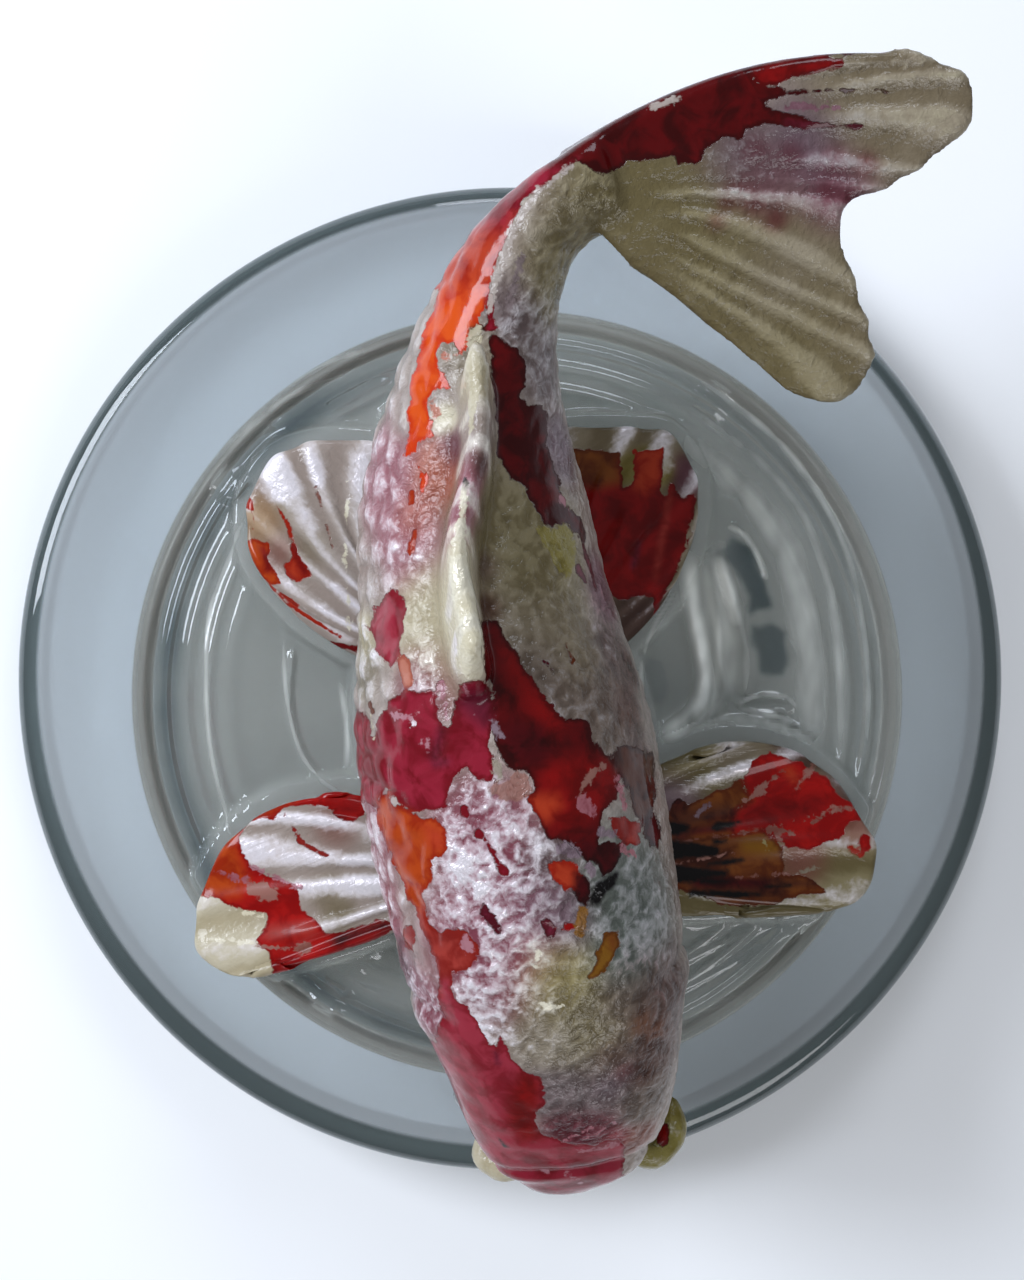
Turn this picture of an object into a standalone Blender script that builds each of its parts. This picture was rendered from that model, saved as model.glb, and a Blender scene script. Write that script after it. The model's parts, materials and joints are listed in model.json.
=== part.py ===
"""A koi ornament: a hand-finished cast koi on a two-step clear base.

The row frame has its origin at the centre of the base's underside, +Z up. The koi's head points
along -Y and its own left side is +X. Lengths in the tables below are millimetres, and MM turns
them into metres.
"""

import math

import bpy
import numpy as np
from mathutils import Matrix, Vector
from mathutils.bvhtree import BVHTree

MM = 0.001
GAP = 0.3  # clearance between solids that touch on the real piece

# Clear base, from the bottom up
PLATE_RADIUS, PLATE_THICKNESS, PLATE_BEVEL, PLATE_SEGMENTS = 49.6, 10.0, 0.9, 48
WATER_CENTRE, WATER_SEGMENTS = (0.5, -0.9), 56
# The water disc's top from its middle outwards: radius and height, with three ripples inside the lip
WATER_TOP = [
    (9.0, 23.2), (13.6, 23.2), (16.6, 23.2), (19.4, 23.2), (22.1, 23.2), (24.8, 23.2), (27.4, 23.2),
    (29.0, 23.7), (30.1, 23.2), (31.2, 23.7), (32.2, 23.2), (33.1, 23.7), (34.2, 22.9),
    (35.2, 24.0), (35.7, 24.0), (36.2, 23.5),
]
SHELF_HEIGHT = 1.8  # the water is drawn up under the fins and along the flanks
SHELF_WIDTH = (0.9, 2.6)  # plan distance from the koi where it starts and stops falling
SHELF_REACH = (34.0, 34.9)  # and it fades into the lip
# Swells between the two left fins: a line of places in plan, height and half width
SWELLS = [
    ([(17.0, 11.0), (17.3, 6.0), (18.0, 1.0), (17.8, -1.5), (15.5, -3.6)], 0.9, 1.0),
    ([(19.2, 12.5), (20.4, 8.5), (21.6, 4.0), (20.5, -0.5), (18.5, -3.0)], 0.8, 1.0),
]

# Lofting table of the body, from the lips to the root of the tail fin. Each station gives the
# middle of the section, its half width, its height over and under that middle, the roll in
# degrees and how square the section is (2 is an ellipse).
BODY_STATIONS = [
    (5.8, -44.9, 32.7, 1.6, 1.0, 1.2, 0, 2.2),
    (5.7, -44.2, 32.8, 3.6, 2.2, 2.1, 0, 2.3),
    (5.5, -42.8, 33.1, 5.3, 3.5, 3.1, 0, 2.4),
    (5.4, -41.2, 33.7, 6.5, 3.9, 4.1, 0, 2.5),
    (5.2, -40.0, 34.2, 7.6, 5.1, 4.9, 0, 2.5),
    (4.8, -36.5, 35.0, 9.1, 7.7, 6.6, 0, 2.5),
    (4.2, -31.0, 35.8, 10.6, 10.5, 8.9, 0, 2.5),
    (3.0, -24.0, 36.4, 12.1, 13.1, 11.4, 0, 2.4),
    (1.5, -16.5, 36.5, 12.7, 14.5, 13.4, 3, 2.2),
    (-1.0, -2.4, 36.5, 12.8, 15.1, 15.0, 7, 2.1),
    (-2.6, 8.2, 36.6, 10.9, 13.7, 12.8, 7, 2.0),
    (-3.5, 17.0, 37.6, 9.8, 11.6, 10.6, 4, 2.0),
    (-3.2, 24.5, 39.8, 7.7, 9.4, 8.6, 0, 2.0),
    (-1.9, 31.8, 42.6, 5.6, 7.2, 6.6, -5, 2.0),
    (0.7, 37.6, 45.0, 4.2, 5.6, 5.4, 0, 2.0),
    (3.2, 40.3, 46.4, 3.4, 4.8, 4.7, 14, 2.0),
    (5.8, 41.9, 47.5, 2.8, 4.3, 4.3, 38, 2.0),
    (8.5, 42.7, 48.4, 1.8, 4.4, 4.3, 64, 2.0),
]
BODY_SIDES = 28
BODY_PLACES = [*np.linspace(0, 0.08, 9), *np.linspace(0.11, 0.98, 28)]  # sections of the loft
LIP_CUT, HEAD_CUT, STALK_CUT = 0.038, 0.235, 0.735  # where the body is parted, 0 to 1 along it

# Fins. Each outline has a root line and a rim line, both from the leading edge to the trailing
# one, and how far the outer rays bow sideways.
CAUDAL_FIN = {
    "root": [(6.6, 46.0, 49.9), (7.4, 43.2, 48.2), (8.4, 39.2, 46.4)],
    "rim": [
        (33.2, 52.5, 52.0), (37.4, 49.0, 51.5), (35.1, 44.5, 50.5), (26.7, 39.9, 49.2),
        (28.9, 33.2, 47.0), (30.1, 26.9, 45.0), (26.0, 24.6, 44.5), (21.7, 26.4, 44.6),
    ],
    "bow": ((-0.1, 2.3, 0.3), (0.9, 0.3, 0.0)),
    "thick": (3.0, 1.3),
    "rays": 10,
    "steps": 7,
}
PECTORAL_FINS = {
    "right": {
        "root": [(-7.5, -20.8, 29.6), (-7.6, -17.0, 29.4), (-8.0, -12.6, 29.0)],
        "rim": [
            (-21.6, -25.7, 28.0), (-26.0, -26.6, 27.5), (-29.2, -24.4, 27.3), (-28.8, -18.6, 27.3),
            (-26.3, -13.9, 27.6), (-21.2, -10.4, 28.2), (-15.5, -9.7, 28.8),
        ],
        "bow": ((0.0, -0.4, 0.0), (0.0, 1.0, 0.0)),
    },
    "left": {
        "root": [(9.8, -20.0, 29.6), (9.4, -16.0, 29.4), (8.6, -10.2, 29.0)],
        "rim": [
            (24.0, -19.8, 28.4), (32.0, -19.5, 27.8), (33.7, -16.0, 27.6), (31.8, -10.9, 27.8),
            (27.0, -6.2, 28.2), (21.6, -4.6, 28.8), (17.4, -5.4, 29.2),
        ],
        "bow": ((0.0, -0.9, 0.0), (0.0, 0.8, 0.0)),
    },
}
PELVIC_FINS = {
    "right": {
        "root": [(-7.6, 0.9, 26.9), (-6.6, 3.2, 26.6), (-6.0, 5.6, 26.6)],
        "rim": [
            (-20.4, 6.9, 26.5), (-24.2, 12.0, 26.4), (-24.5, 17.6, 26.4), (-22.0, 21.6, 26.6),
            (-18.0, 23.0, 26.9), (-11.5, 22.8, 27.6),
        ],
        "bow": ((-0.6, -0.7, 0.0), (0.4, 0.2, 0.0)),
    },
    "left": {
        "root": [(5.2, 0.9, 26.9), (4.0, 3.4, 26.6), (2.6, 6.2, 26.6)],
        "rim": [
            (14.6, 8.6, 26.5), (16.9, 14.0, 26.4), (17.0, 20.2, 26.4), (14.6, 23.7, 26.6),
            (10.2, 24.3, 26.9), (3.5, 24.1, 27.6),
        ],
        "bow": ((0.7, -0.6, 0.0), (-0.3, 0.2, 0.0)),
    },
}
PAIRED_THICK, PAIRED_RAYS, PAIRED_STEPS = (1.9, 1.1), 9, 5
VALLEY_SHARE = 0.66  # a fin's thickness between its rays, as a share of that on them
EDGE_SHARE, EDGE_SLOPE = 0.55, 6  # and at its first and last ray, rising this fast towards the middle
FIN_THINNEST = 0.6
DORSAL_FIN = {
    "root": [(-3.2, 0.4, 49.4), (-4.5, 8.0, 48.0), (-3.7, 18.0, 46.4), (-2.9, 26.0, 46.4)],
    "rim": [(-3.6, 4.6, 58.6), (-4.3, 11.5, 57.4), (-3.2, 21.0, 54.6), (-2.8, 29.8, 52.6)],
    "bow": ((0.0, -0.9, 0.8), (0.0, -0.8, 0.4)),
    "thick": (4.4, 1.6),
    "rays": 8,
    "steps": 5,
}
ANAL_FIN = {
    "root": [(-3.3, 21.0, 32.6), (-3.0, 24.0, 33.8), (-2.6, 27.2, 35.2)],
    "rim": [(-3.5, 27.4, 27.2), (-3.1, 30.4, 28.6), (-2.4, 33.0, 32.4)],
    "bow": ((0.0, 0.2, -0.6), (0.0, 0.2, 0.0)),
    "thick": (2.2, 1.1),
    "rays": 4,
    "steps": 4,
}

# Head features
EYE_RADIUS, EYE_FORWARD, EYE_ANGLE, EYE_SINK = 1.75, 0.105, 14, 1.15
BALL_SEGMENTS, BALL_RINGS = 12, 8
MOUTH_RADII = (3.1, 2.2, 0.45)
MOUTH_SHIFT = (0.0, 0.4, -0.3)  # from the first body station
BARBELS = {
    "barbel_right": (1.25, (
        (2.4, -41.2, 32.0), (-0.9, -43.5, 30.6), (-2.5, -42.7, 29.9), (-2.9, -40.4, 29.6)
    )),
    "barbel_left": (1.35, (
        (9.4, -41.0, 32.0), (12.9, -42.2, 30.6), (14.6, -40.2, 29.9), (14.5, -37.2, 29.6)
    )),
    "barbel_small_right": (0.55, (
        (3.6, -42.9, 32.4), (2.6, -43.9, 31.2), (2.2, -44.0, 29.9)
    )),
    "barbel_small_left": (0.55, (
        (7.6, -42.9, 32.4), (8.7, -43.9, 31.2), (9.1, -44.0, 29.9)
    )),
}
BARBEL_STEPS, BARBEL_SIDES = 7, 2
BARBEL_ROOT, BARBEL_BELLY = 0.75, 0.4  # share of the radius at the root, and what the middle adds to it
BARBEL_TIP, BARBEL_TAPER = 0.35, 0.2  # what the tip loses, over this last share of the length

# Colours (linear), roughness and metallic value of each finish
FINISHES = {
    "pearl white": ((0.62, 0.56, 0.46), 0.35),
    "candy red": ((0.28, 0.012, 0.014), 0.25),
    "orange": ((0.62, 0.11, 0.02), 0.25),
    "clear acrylic": ((0.80, 0.86, 0.86), 0.08),
    "black gloss": ((0.01, 0.009, 0.009), 0.15),
}


def clear_scene():
    for obj in list(bpy.data.objects):
        bpy.data.objects.remove(obj)


def finish(name):
    """The named Principled material, made once."""
    material = bpy.data.materials.get(name)
    if material is None:
        colour, roughness = FINISHES[name]
        material = bpy.data.materials.new(name)
        material.use_nodes = True
        shader = material.node_tree.nodes["Principled BSDF"]
        shader.inputs["Base Color"].default_value = (*colour, 1)
        shader.inputs["Roughness"].default_value = roughness
        shader.inputs["Metallic"].default_value = 0
        if name == "clear acrylic":
            shader.inputs["Transmission Weight"].default_value = 1
            shader.inputs["IOR"].default_value = 1.49
    return material


def add_mesh(name, points, faces, material, helper=False):
    """A mesh object from points in millimetres. A helper is a cutter that isn't part of the piece."""
    mesh = bpy.data.meshes.new(name)
    mesh.from_pydata((np.asarray(points) * MM).tolist(), [], faces)
    mesh.validate()
    mesh.shade_smooth()
    mesh.set_sharp_from_angle(angle=math.radians(40))
    mesh.materials.append(finish(material))
    obj = bpy.data.objects.new(name, mesh)
    bpy.context.scene.collection.objects.link(obj)
    if helper:
        obj.hide_render = True
        obj.display_type = "WIRE"
    return obj


def cut(obj, cutter):
    """Takes the cutter's shape out of obj with an exact Boolean."""
    modifier = obj.modifiers.new("cut " + cutter.name, "BOOLEAN")
    modifier.operation = "DIFFERENCE"
    modifier.solver = "EXACT"
    modifier.object = cutter


def through(table, at):
    """Rows of a smooth curve through the table's rows, at places from 0 to 1 along its chords."""
    table = np.array(table, float)
    steps = np.linalg.norm(np.diff(table[:, :3], axis=0), axis=1)
    knots = np.concatenate([[0], np.cumsum(steps)]) / steps.sum()
    slopes = np.gradient(table, knots, axis=0)
    at = np.atleast_1d(at)
    i = np.clip(np.searchsorted(knots, at, side="right") - 1, 0, len(knots) - 2)
    width = (knots[i + 1] - knots[i])[:, None]
    u = (at[:, None] - knots[i][:, None]) / width
    rise = u * u * (3 - 2 * u)
    leave = u * (1 - u) ** 2 * width * slopes[i]
    arrive = u * u * (u - 1) * width * slopes[i + 1]
    return (1 - rise) * table[i] + rise * table[i + 1] + leave + arrive


def unit(vectors):
    return vectors / np.linalg.norm(vectors, axis=-1, keepdims=True)


def body_frames(at):
    """Middle, side, up and the size columns of the body's sections at places from 0 to 1."""
    rows = through(BODY_STATIONS, at)
    nudge = 1e-3
    ahead = through(BODY_STATIONS, np.clip(at + nudge, 0, 1))[:, :3]
    behind = through(BODY_STATIONS, np.clip(at - nudge, 0, 1))[:, :3]
    along = unit(ahead - behind)
    side = unit(np.cross(along, [0, 0, 1]))
    up = np.cross(side, along)
    roll = np.radians(rows[:, 6])[:, None]
    rolled_up = up * np.cos(roll) - side * np.sin(roll)
    rolled_side = side * np.cos(roll) + up * np.sin(roll)
    return rows, rolled_side, rolled_up


def body_rings(at, grow=0.0):
    """Section outlines of the body, each BODY_SIDES points, anticlockwise seen from the tail."""
    rows, side, up = body_frames(at)
    angles = np.arange(BODY_SIDES) * 2 * math.pi / BODY_SIDES
    cosine, sine = np.cos(angles), np.sin(angles)
    rings = []
    for row, s, u in zip(rows, side, up):
        power = 2 / row[7]
        across = np.sign(cosine) * np.abs(cosine) ** power * (row[3] + grow)
        height = np.where(sine > 0, row[4], row[5]) + grow
        tall = np.sign(sine) * np.abs(sine) ** power * height
        rings.append(row[:3] + across[:, None] * s + tall[:, None] * u)
    return np.array(rings)


def add_loft(name, rings, material, helper=False):
    """A closed skin over rings of equal count, with a flat cap at each end."""
    count, sides = rings.shape[:2]
    faces = []
    for i in range(count - 1):
        for j in range(sides):
            k = (j + 1) % sides
            faces.append((i * sides + j, i * sides + k, (i + 1) * sides + k, (i + 1) * sides + j))
    faces = [face[::-1] for face in faces]
    faces.append(tuple(range(sides)))
    faces.append(tuple(range(count * sides - 1, (count - 1) * sides - 1, -1)))
    return add_mesh(name, rings.reshape(-1, 3), faces, material, helper)


def spaced(start, end):
    """Places between two body fractions, closer together at the lips than along the trunk."""
    marks = [place for place in BODY_PLACES if start < place < end]
    return np.array([start, *marks, end])


def body_length():
    middles = np.array(BODY_STATIONS)[:, :3]
    return np.linalg.norm(np.diff(middles, axis=0), axis=1).sum()


def add_body():
    """Head, trunk and tail stalk, parted by thin cuts, and the grown body that clears its neighbours."""
    half_gap = GAP / 2 / body_length()
    parts = {
        "lips": (0, LIP_CUT - half_gap, "candy red"),
        "head": (LIP_CUT + half_gap, HEAD_CUT - half_gap, "candy red"),
        "trunk": (HEAD_CUT + half_gap, STALK_CUT - half_gap, "pearl white"),
        "tail_stalk": (STALK_CUT + half_gap, 1, "orange"),
    }
    made = {}
    for name, (start, end, material) in parts.items():
        made[name] = add_loft(name, body_rings(spaced(start, end)), material)
    clearance = add_loft("body_clearance", body_rings(spaced(0, 1), GAP), "pearl white", True)
    return made, clearance


def add_fin(name, fin, material, clearance):
    """A fan of ridged rays between a root line and a rim line, trimmed clear of the body."""
    rays, steps = fin["rays"], fin["steps"]
    columns = 2 * rays + 1
    t = np.linspace(0, 1, columns)
    root, rim = through(fin["root"], t), through(fin["rim"], t)
    first, last = np.array(fin["bow"][0]), np.array(fin["bow"][1])
    bow = np.outer((1 - t) ** 2, first) + np.outer(t ** 2, last)
    q = np.linspace(0, 1, steps + 1)[:, None, None]
    middle = root * (1 - q) + rim * q + 4 * q * (1 - q) * bow
    across = np.gradient(middle, axis=1)
    along = np.gradient(middle, axis=0)
    normal = unit(np.cross(across, along))
    ridge = np.where(np.arange(columns) % 2 == 1, 1.0, VALLEY_SHARE)[None, :, None]
    ends = np.minimum(1, EDGE_SHARE + EDGE_SLOPE * np.minimum(t, 1 - t))[None, :, None]
    thick = (fin["thick"][0] * (1 - q) + fin["thick"][1] * q) * ridge * ends
    thick = np.maximum(thick, FIN_THINNEST)
    upper, lower = middle + normal * thick / 2, middle - normal * thick / 2
    points = np.concatenate([upper.reshape(-1, 3), lower.reshape(-1, 3)])
    rows = steps + 1
    under = rows * columns
    faces = []
    for i in range(steps):
        for j in range(columns - 1):
            a, b = i * columns + j, i * columns + j + 1
            c, d = b + columns, a + columns
            faces += [(a, b, c, d), (under + d, under + c, under + b, under + a)]
    edge = [j for j in range(columns)]
    edge += [i * columns + columns - 1 for i in range(1, rows)]
    edge += [steps * columns + j for j in range(columns - 2, -1, -1)]
    edge += [i * columns for i in range(steps - 1, 0, -1)]
    for a, b in zip(edge, edge[1:] + edge[:1]):
        faces.append((b, a, under + a, under + b))
    obj = add_mesh(name, points, faces, material)
    cut(obj, clearance)
    return obj


def add_fins(clearance):
    """All seven fins. Gives back the four paired ones, which lie close over the water."""
    add_fin("caudal_fin", CAUDAL_FIN, "pearl white", clearance)
    add_fin("dorsal_fin", DORSAL_FIN, "pearl white", clearance)
    add_fin("anal_fin", ANAL_FIN, "orange", clearance)
    sizes = {"thick": PAIRED_THICK, "rays": PAIRED_RAYS, "steps": PAIRED_STEPS}
    paired = []
    for side in ("left", "right"):
        pectoral, pelvic = {**PECTORAL_FINS[side], **sizes}, {**PELVIC_FINS[side], **sizes}
        paired.append(add_fin("pectoral_fin_" + side, pectoral, "candy red", clearance))
        paired.append(add_fin("pelvic_fin_" + side, pelvic, "orange", clearance))
    return paired


def add_ball(name, centre, radii, material, helper=False):
    bpy.ops.mesh.primitive_uv_sphere_add(segments=BALL_SEGMENTS, ring_count=BALL_RINGS, radius=1)
    ball = bpy.context.object
    ball.name = name
    scale = Matrix.Diagonal((*[r * MM for r in radii], 1))
    ball.data.transform(Matrix.Translation([c * MM for c in centre]) @ scale)
    ball.data.shade_smooth()
    ball.data.materials.append(finish(material))
    if helper:
        ball.hide_render = True
        ball.display_type = "WIRE"
    return ball


def add_eyes(head):
    """An eyeball in a socket on each side of the head, a little under its widest line."""
    rows, side, up = body_frames(np.array([EYE_FORWARD]))
    for name, way in (("left", 1), ("right", -1)):
        drop = math.radians(EYE_ANGLE)
        reach = rows[0, 3] * math.cos(drop) * way * side[0] - rows[0, 5] * math.sin(drop) * up[0]
        centre = rows[0, :3] + reach * (1 - EYE_SINK / np.linalg.norm(reach))
        add_ball("eye_" + name, centre, (EYE_RADIUS,) * 3, "black gloss")
        socket = add_ball("socket_" + name, centre, (EYE_RADIUS + GAP,) * 3, "pearl white", True)
        cut(head, socket)


def add_mouth(lips):
    """A shallow slit between the lips."""
    middle = np.array(BODY_STATIONS[0][:3]) + MOUTH_SHIFT
    cut(lips, add_ball("mouth_cutter", middle, MOUTH_RADII, "candy red", True))


def add_barbels(clearance):
    """Thick feelers that curl back from the corners of the mouth, trimmed clear of the head."""
    for name, (radius, route) in BARBELS.items():
        line = through(route, np.linspace(0, 1, BARBEL_STEPS))
        curve = bpy.data.curves.new(name + "_line", "CURVE")
        curve.dimensions = "3D"
        curve.bevel_depth = radius * MM
        curve.bevel_resolution = BARBEL_SIDES
        curve.use_fill_caps = True
        spline = curve.splines.new("POLY")
        spline.points.add(len(line) - 1)
        for i, (point, place) in enumerate(zip(spline.points, line)):
            share = i / (len(line) - 1)
            point.co = (*(place * MM), 1)
            tip = max(0, share - 1 + BARBEL_TAPER) / BARBEL_TAPER
            point.radius = BARBEL_ROOT + BARBEL_BELLY * math.sin(math.pi * share) - BARBEL_TIP * tip
        guide = bpy.data.objects.new(name + "_guide", curve)
        bpy.context.scene.collection.objects.link(guide)
        tube = bpy.data.meshes.new_from_object(guide.evaluated_get(bpy.context.evaluated_depsgraph_get()))
        bpy.data.objects.remove(guide)
        tube.name = name
        tube.materials.clear()
        tube.materials.append(finish("pearl white"))
        obj = bpy.data.objects.new(name, tube)
        bpy.context.scene.collection.objects.link(obj)
        weld = obj.modifiers.new("weld", "WELD")
        weld.merge_threshold = 0.00001
        cut(obj, clearance)


def add_turned(name, profile, centre, segments, material):
    """A solid turned about an upright line; profile runs (radius, height) from the top down the outside."""
    angles = np.arange(segments) * 2 * math.pi / segments
    circle = np.column_stack([np.cos(angles), np.sin(angles)])
    rings = [np.column_stack([circle * r + centre, np.full(segments, h)]) for r, h in profile[1:-1]]
    points = np.concatenate([[(*centre, profile[0][1])], *rings, [(*centre, profile[-1][1])]])
    last = len(points) - 1
    faces = []
    for j in range(segments):
        k = (j + 1) % segments
        faces.append((0, 1 + j, 1 + k))
        for i in range(len(rings) - 1):
            a, b = 1 + i * segments, 1 + (i + 1) * segments
            faces.append((a + j, b + j, b + k, a + k))
        faces.append((last, last - segments + k, last - segments + j))
    return add_mesh(name, points, faces, material)


def smooth(start, end, value):
    share = np.clip((value - start) / (end - start), 0, 1)
    return share * share * (3 - 2 * share)


def plan_distances(spots, objs):
    """How far each (x, y) lies from the nearest outline of the objects seen from above; 0 over them."""
    points, faces = [], []
    for obj in objs:
        first = len(points)
        points += [(v.co.x, v.co.y, 0) for v in obj.data.vertices]
        faces += [[first + i for i in face.vertices] for face in obj.data.polygons]
    tree = BVHTree.FromPolygons(points, faces)
    return np.array([tree.find_nearest(Vector((x * MM, y * MM, 0)))[3] / MM for x, y in spots])


def line_distances(spots, line):
    """How far each (x, y) lies from a line of places in plan."""
    line = np.array(line)
    away = np.full(len(spots), np.inf)
    for start, end in zip(line[:-1], line[1:]):
        along = end - start
        share = np.clip((spots - start) @ along / (along @ along), 0, 1)
        away = np.minimum(away, np.linalg.norm(spots - start - share[:, None] * along, axis=1))
    return away


def add_water(clearance, near):
    """The water disc: ripples inside a lip, and its top drawn up round what lies close over it."""
    bottom, middle, outer = PLATE_THICKNESS + GAP, WATER_TOP[0][1], WATER_TOP[-1][0]
    profile = [(0, middle), *WATER_TOP, (outer, bottom), (0, bottom)]
    water = add_turned("water_disc", profile, WATER_CENTRE, WATER_SEGMENTS, "clear acrylic")
    mesh = water.data
    points = np.array([v.co for v in mesh.vertices]) / MM
    top = np.arange(len(points)) <= len(WATER_TOP) * WATER_SEGMENTS
    spots = points[:, :2]
    inside = 1 - smooth(*SHELF_REACH, np.linalg.norm(spots - WATER_CENTRE, axis=1))
    lift = SHELF_HEIGHT * (1 - smooth(*SHELF_WIDTH, plan_distances(spots, near)))
    for line, height, width in SWELLS:
        lift = np.maximum(lift, height * np.exp(-((line_distances(spots, line) / width) ** 2)))
    points[:, 2] = np.where(top, np.maximum(points[:, 2], middle + lift * inside), points[:, 2])
    mesh.vertices.foreach_set("co", (points * MM).ravel())
    mesh.update()
    cut(water, clearance)


def add_base(clearance, near):
    """Clear plate and, on it, the clear water disc with a socket for the belly."""
    high, inset = PLATE_THICKNESS, PLATE_RADIUS - PLATE_BEVEL
    plate = [
        (0, high), (inset, high), (PLATE_RADIUS, high - PLATE_BEVEL),
        (PLATE_RADIUS, PLATE_BEVEL), (inset, 0), (0, 0),
    ]
    add_turned("base_plate", plate, (0, 0), PLATE_SEGMENTS, "clear acrylic")
    add_water(clearance, near)


def main():
    clear_scene()
    body, clearance = add_body()
    add_eyes(body["head"])
    add_mouth(body["lips"])
    paired = add_fins(clearance)
    add_barbels(clearance)
    add_base(clearance, [body["trunk"], *paired])


main()
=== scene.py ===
import json
import math
from functools import partial

import bpy
import numpy as np
from mathutils import Matrix, Vector, noise
from mathutils.bvhtree import BVHTree

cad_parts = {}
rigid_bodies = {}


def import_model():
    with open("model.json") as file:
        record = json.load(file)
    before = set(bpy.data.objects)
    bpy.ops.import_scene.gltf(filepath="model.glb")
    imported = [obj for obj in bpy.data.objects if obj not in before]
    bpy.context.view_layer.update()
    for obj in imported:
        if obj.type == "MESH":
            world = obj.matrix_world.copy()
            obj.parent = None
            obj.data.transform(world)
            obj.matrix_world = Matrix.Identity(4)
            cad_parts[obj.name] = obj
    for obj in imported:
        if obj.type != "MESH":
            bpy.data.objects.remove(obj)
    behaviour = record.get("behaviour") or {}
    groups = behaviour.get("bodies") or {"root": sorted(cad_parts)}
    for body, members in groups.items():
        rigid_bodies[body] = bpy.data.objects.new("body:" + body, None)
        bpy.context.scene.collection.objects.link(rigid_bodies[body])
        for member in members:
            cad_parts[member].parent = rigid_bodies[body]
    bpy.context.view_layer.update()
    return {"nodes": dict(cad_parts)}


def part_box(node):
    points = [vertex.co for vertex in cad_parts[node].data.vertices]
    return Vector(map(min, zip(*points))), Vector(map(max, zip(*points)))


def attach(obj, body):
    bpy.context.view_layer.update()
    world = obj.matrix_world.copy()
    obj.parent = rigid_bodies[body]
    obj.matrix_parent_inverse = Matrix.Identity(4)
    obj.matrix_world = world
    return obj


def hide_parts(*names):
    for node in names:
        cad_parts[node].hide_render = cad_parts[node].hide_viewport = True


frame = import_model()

# A cast koi ornament: pearl, candy-red and cream lacquers under a thick gloss varnish, on a
# clear acrylic plate that carries a clear cast disc of rippled water. Numbers are millimetres
# unless a line says otherwise; the mesh data itself is in metres.
mm = 0.001


def report(text):
    print("koi ornament:", text)


def linear(hexColour):
    # sRGB hex to linear light
    values = [int(hexColour[i:i + 2], 16) / 255 for i in (0, 2, 4)]
    return [v / 12.92 if v <= 0.04045 else ((v + 0.055) / 1.055) ** 2.4 for v in values]


def smoothStep(low, high, value):
    share = np.clip((value - low) / (high - low), 0, 1)
    return share * share * (3 - 2 * share)


def hump(away, width):
    # 1 in the middle, fading to nothing at about twice the width
    return np.exp(-(away / width) ** 2)


def curveThrough(points, count):
    # evenly spread places on a smooth curve through a short list of points
    table = np.array(points, float)
    knots = np.concatenate([[0], np.cumsum(np.linalg.norm(np.diff(table[:, :3], axis=0), axis=1))])
    knots = knots / knots[-1]
    slopes = np.gradient(table, knots, axis=0)
    at = np.linspace(0, 1, count)
    i = np.clip(np.searchsorted(knots, at, side="right") - 1, 0, len(knots) - 2)
    width = (knots[i + 1] - knots[i])[:, None]
    u = (at[:, None] - knots[i][:, None]) / width
    rise = u * u * (3 - 2 * u)
    leave = u * (1 - u) ** 2 * width * slopes[i]
    arrive = u * u * (u - 1) * width * slopes[i + 1]
    return (1 - rise) * table[i] + rise * table[i + 1] + leave + arrive


def selectOnly(*pieces):
    if bpy.context.object and bpy.context.object.mode != "OBJECT":
        bpy.ops.object.mode_set(mode="OBJECT")
    bpy.ops.object.select_all(action="DESELECT")
    for piece in pieces:
        piece.select_set(True)
    bpy.context.view_layer.objects.active = pieces[0]


def readFloats(data, key, width):
    # one row of floats for each element
    flat = np.empty(len(data) * width, np.float32)
    data.foreach_get(key, flat)
    return flat.reshape(-1, width)


def readPoints(piece):
    # vertex places in mm
    return readFloats(piece.data.vertices, "co", 3).astype(float) / mm


def readNormals(piece):
    return readFloats(piece.data.vertex_normals, "vector", 3).astype(float)


def readFlow(piece):
    return readFloats(piece.data.attributes["flow"].data, "vector", 3)


def writePoints(piece, points):
    piece.data.vertices.foreach_set("co", (points * mm).astype(np.float32).ravel())
    piece.data.update()


def applyModifier(piece, kind, **settings):
    selectOnly(piece)
    modifier = piece.modifiers.new(kind.lower(), kind)
    for name, value in settings.items():
        setattr(modifier, name, value)
    bpy.ops.object.modifier_apply(modifier=modifier.name)


def outwardNormals(piece):
    selectOnly(piece)
    bpy.ops.object.mode_set(mode="EDIT")
    bpy.ops.mesh.select_all(action="SELECT")
    bpy.ops.mesh.remove_doubles(threshold=0.000001)
    bpy.ops.mesh.normals_make_consistent(inside=False)
    bpy.ops.object.mode_set(mode="OBJECT")


def searchTree(piece):
    # for finding the nearest or first-met place on a piece, in metres
    corners = [vertex.co for vertex in piece.data.vertices]
    return BVHTree.FromPolygons(corners, [face.vertices for face in piece.data.polygons])


def linked(name, data):
    # a new object in the scene
    piece = bpy.data.objects.new(name, data)
    bpy.context.scene.collection.objects.link(piece)
    return piece


def copyOfNode(node, puff):
    # a merged copy of a CAD solid, pushed outwards by puff mm so that neighbours meet
    piece = linked(node + "_copy", frame["nodes"][node].data.copy())
    piece.data.materials.clear()
    outwardNormals(piece)
    writePoints(piece, readPoints(piece) + readNormals(piece) * puff)
    return piece


def turned(name, profile, steps):
    # a solid turned about the vertical: profile is (radius, height) from the top middle outwards
    mesh = bpy.data.meshes.new(name)
    places = np.array([(r, 0, h) for r, h in profile], float) * mm
    mesh.from_pydata(places.tolist(), [(i, i + 1) for i in range(len(profile) - 1)], [])
    piece = linked(name, mesh)
    selectOnly(piece)
    bpy.ops.object.mode_set(mode="EDIT")
    bpy.ops.mesh.select_all(action="SELECT")
    bpy.ops.mesh.spin(steps=steps, angle=math.tau, center=(0, 0, 0), axis=(0, 0, 1))
    bpy.ops.object.mode_set(mode="OBJECT")
    outwardNormals(piece)
    return piece


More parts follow.
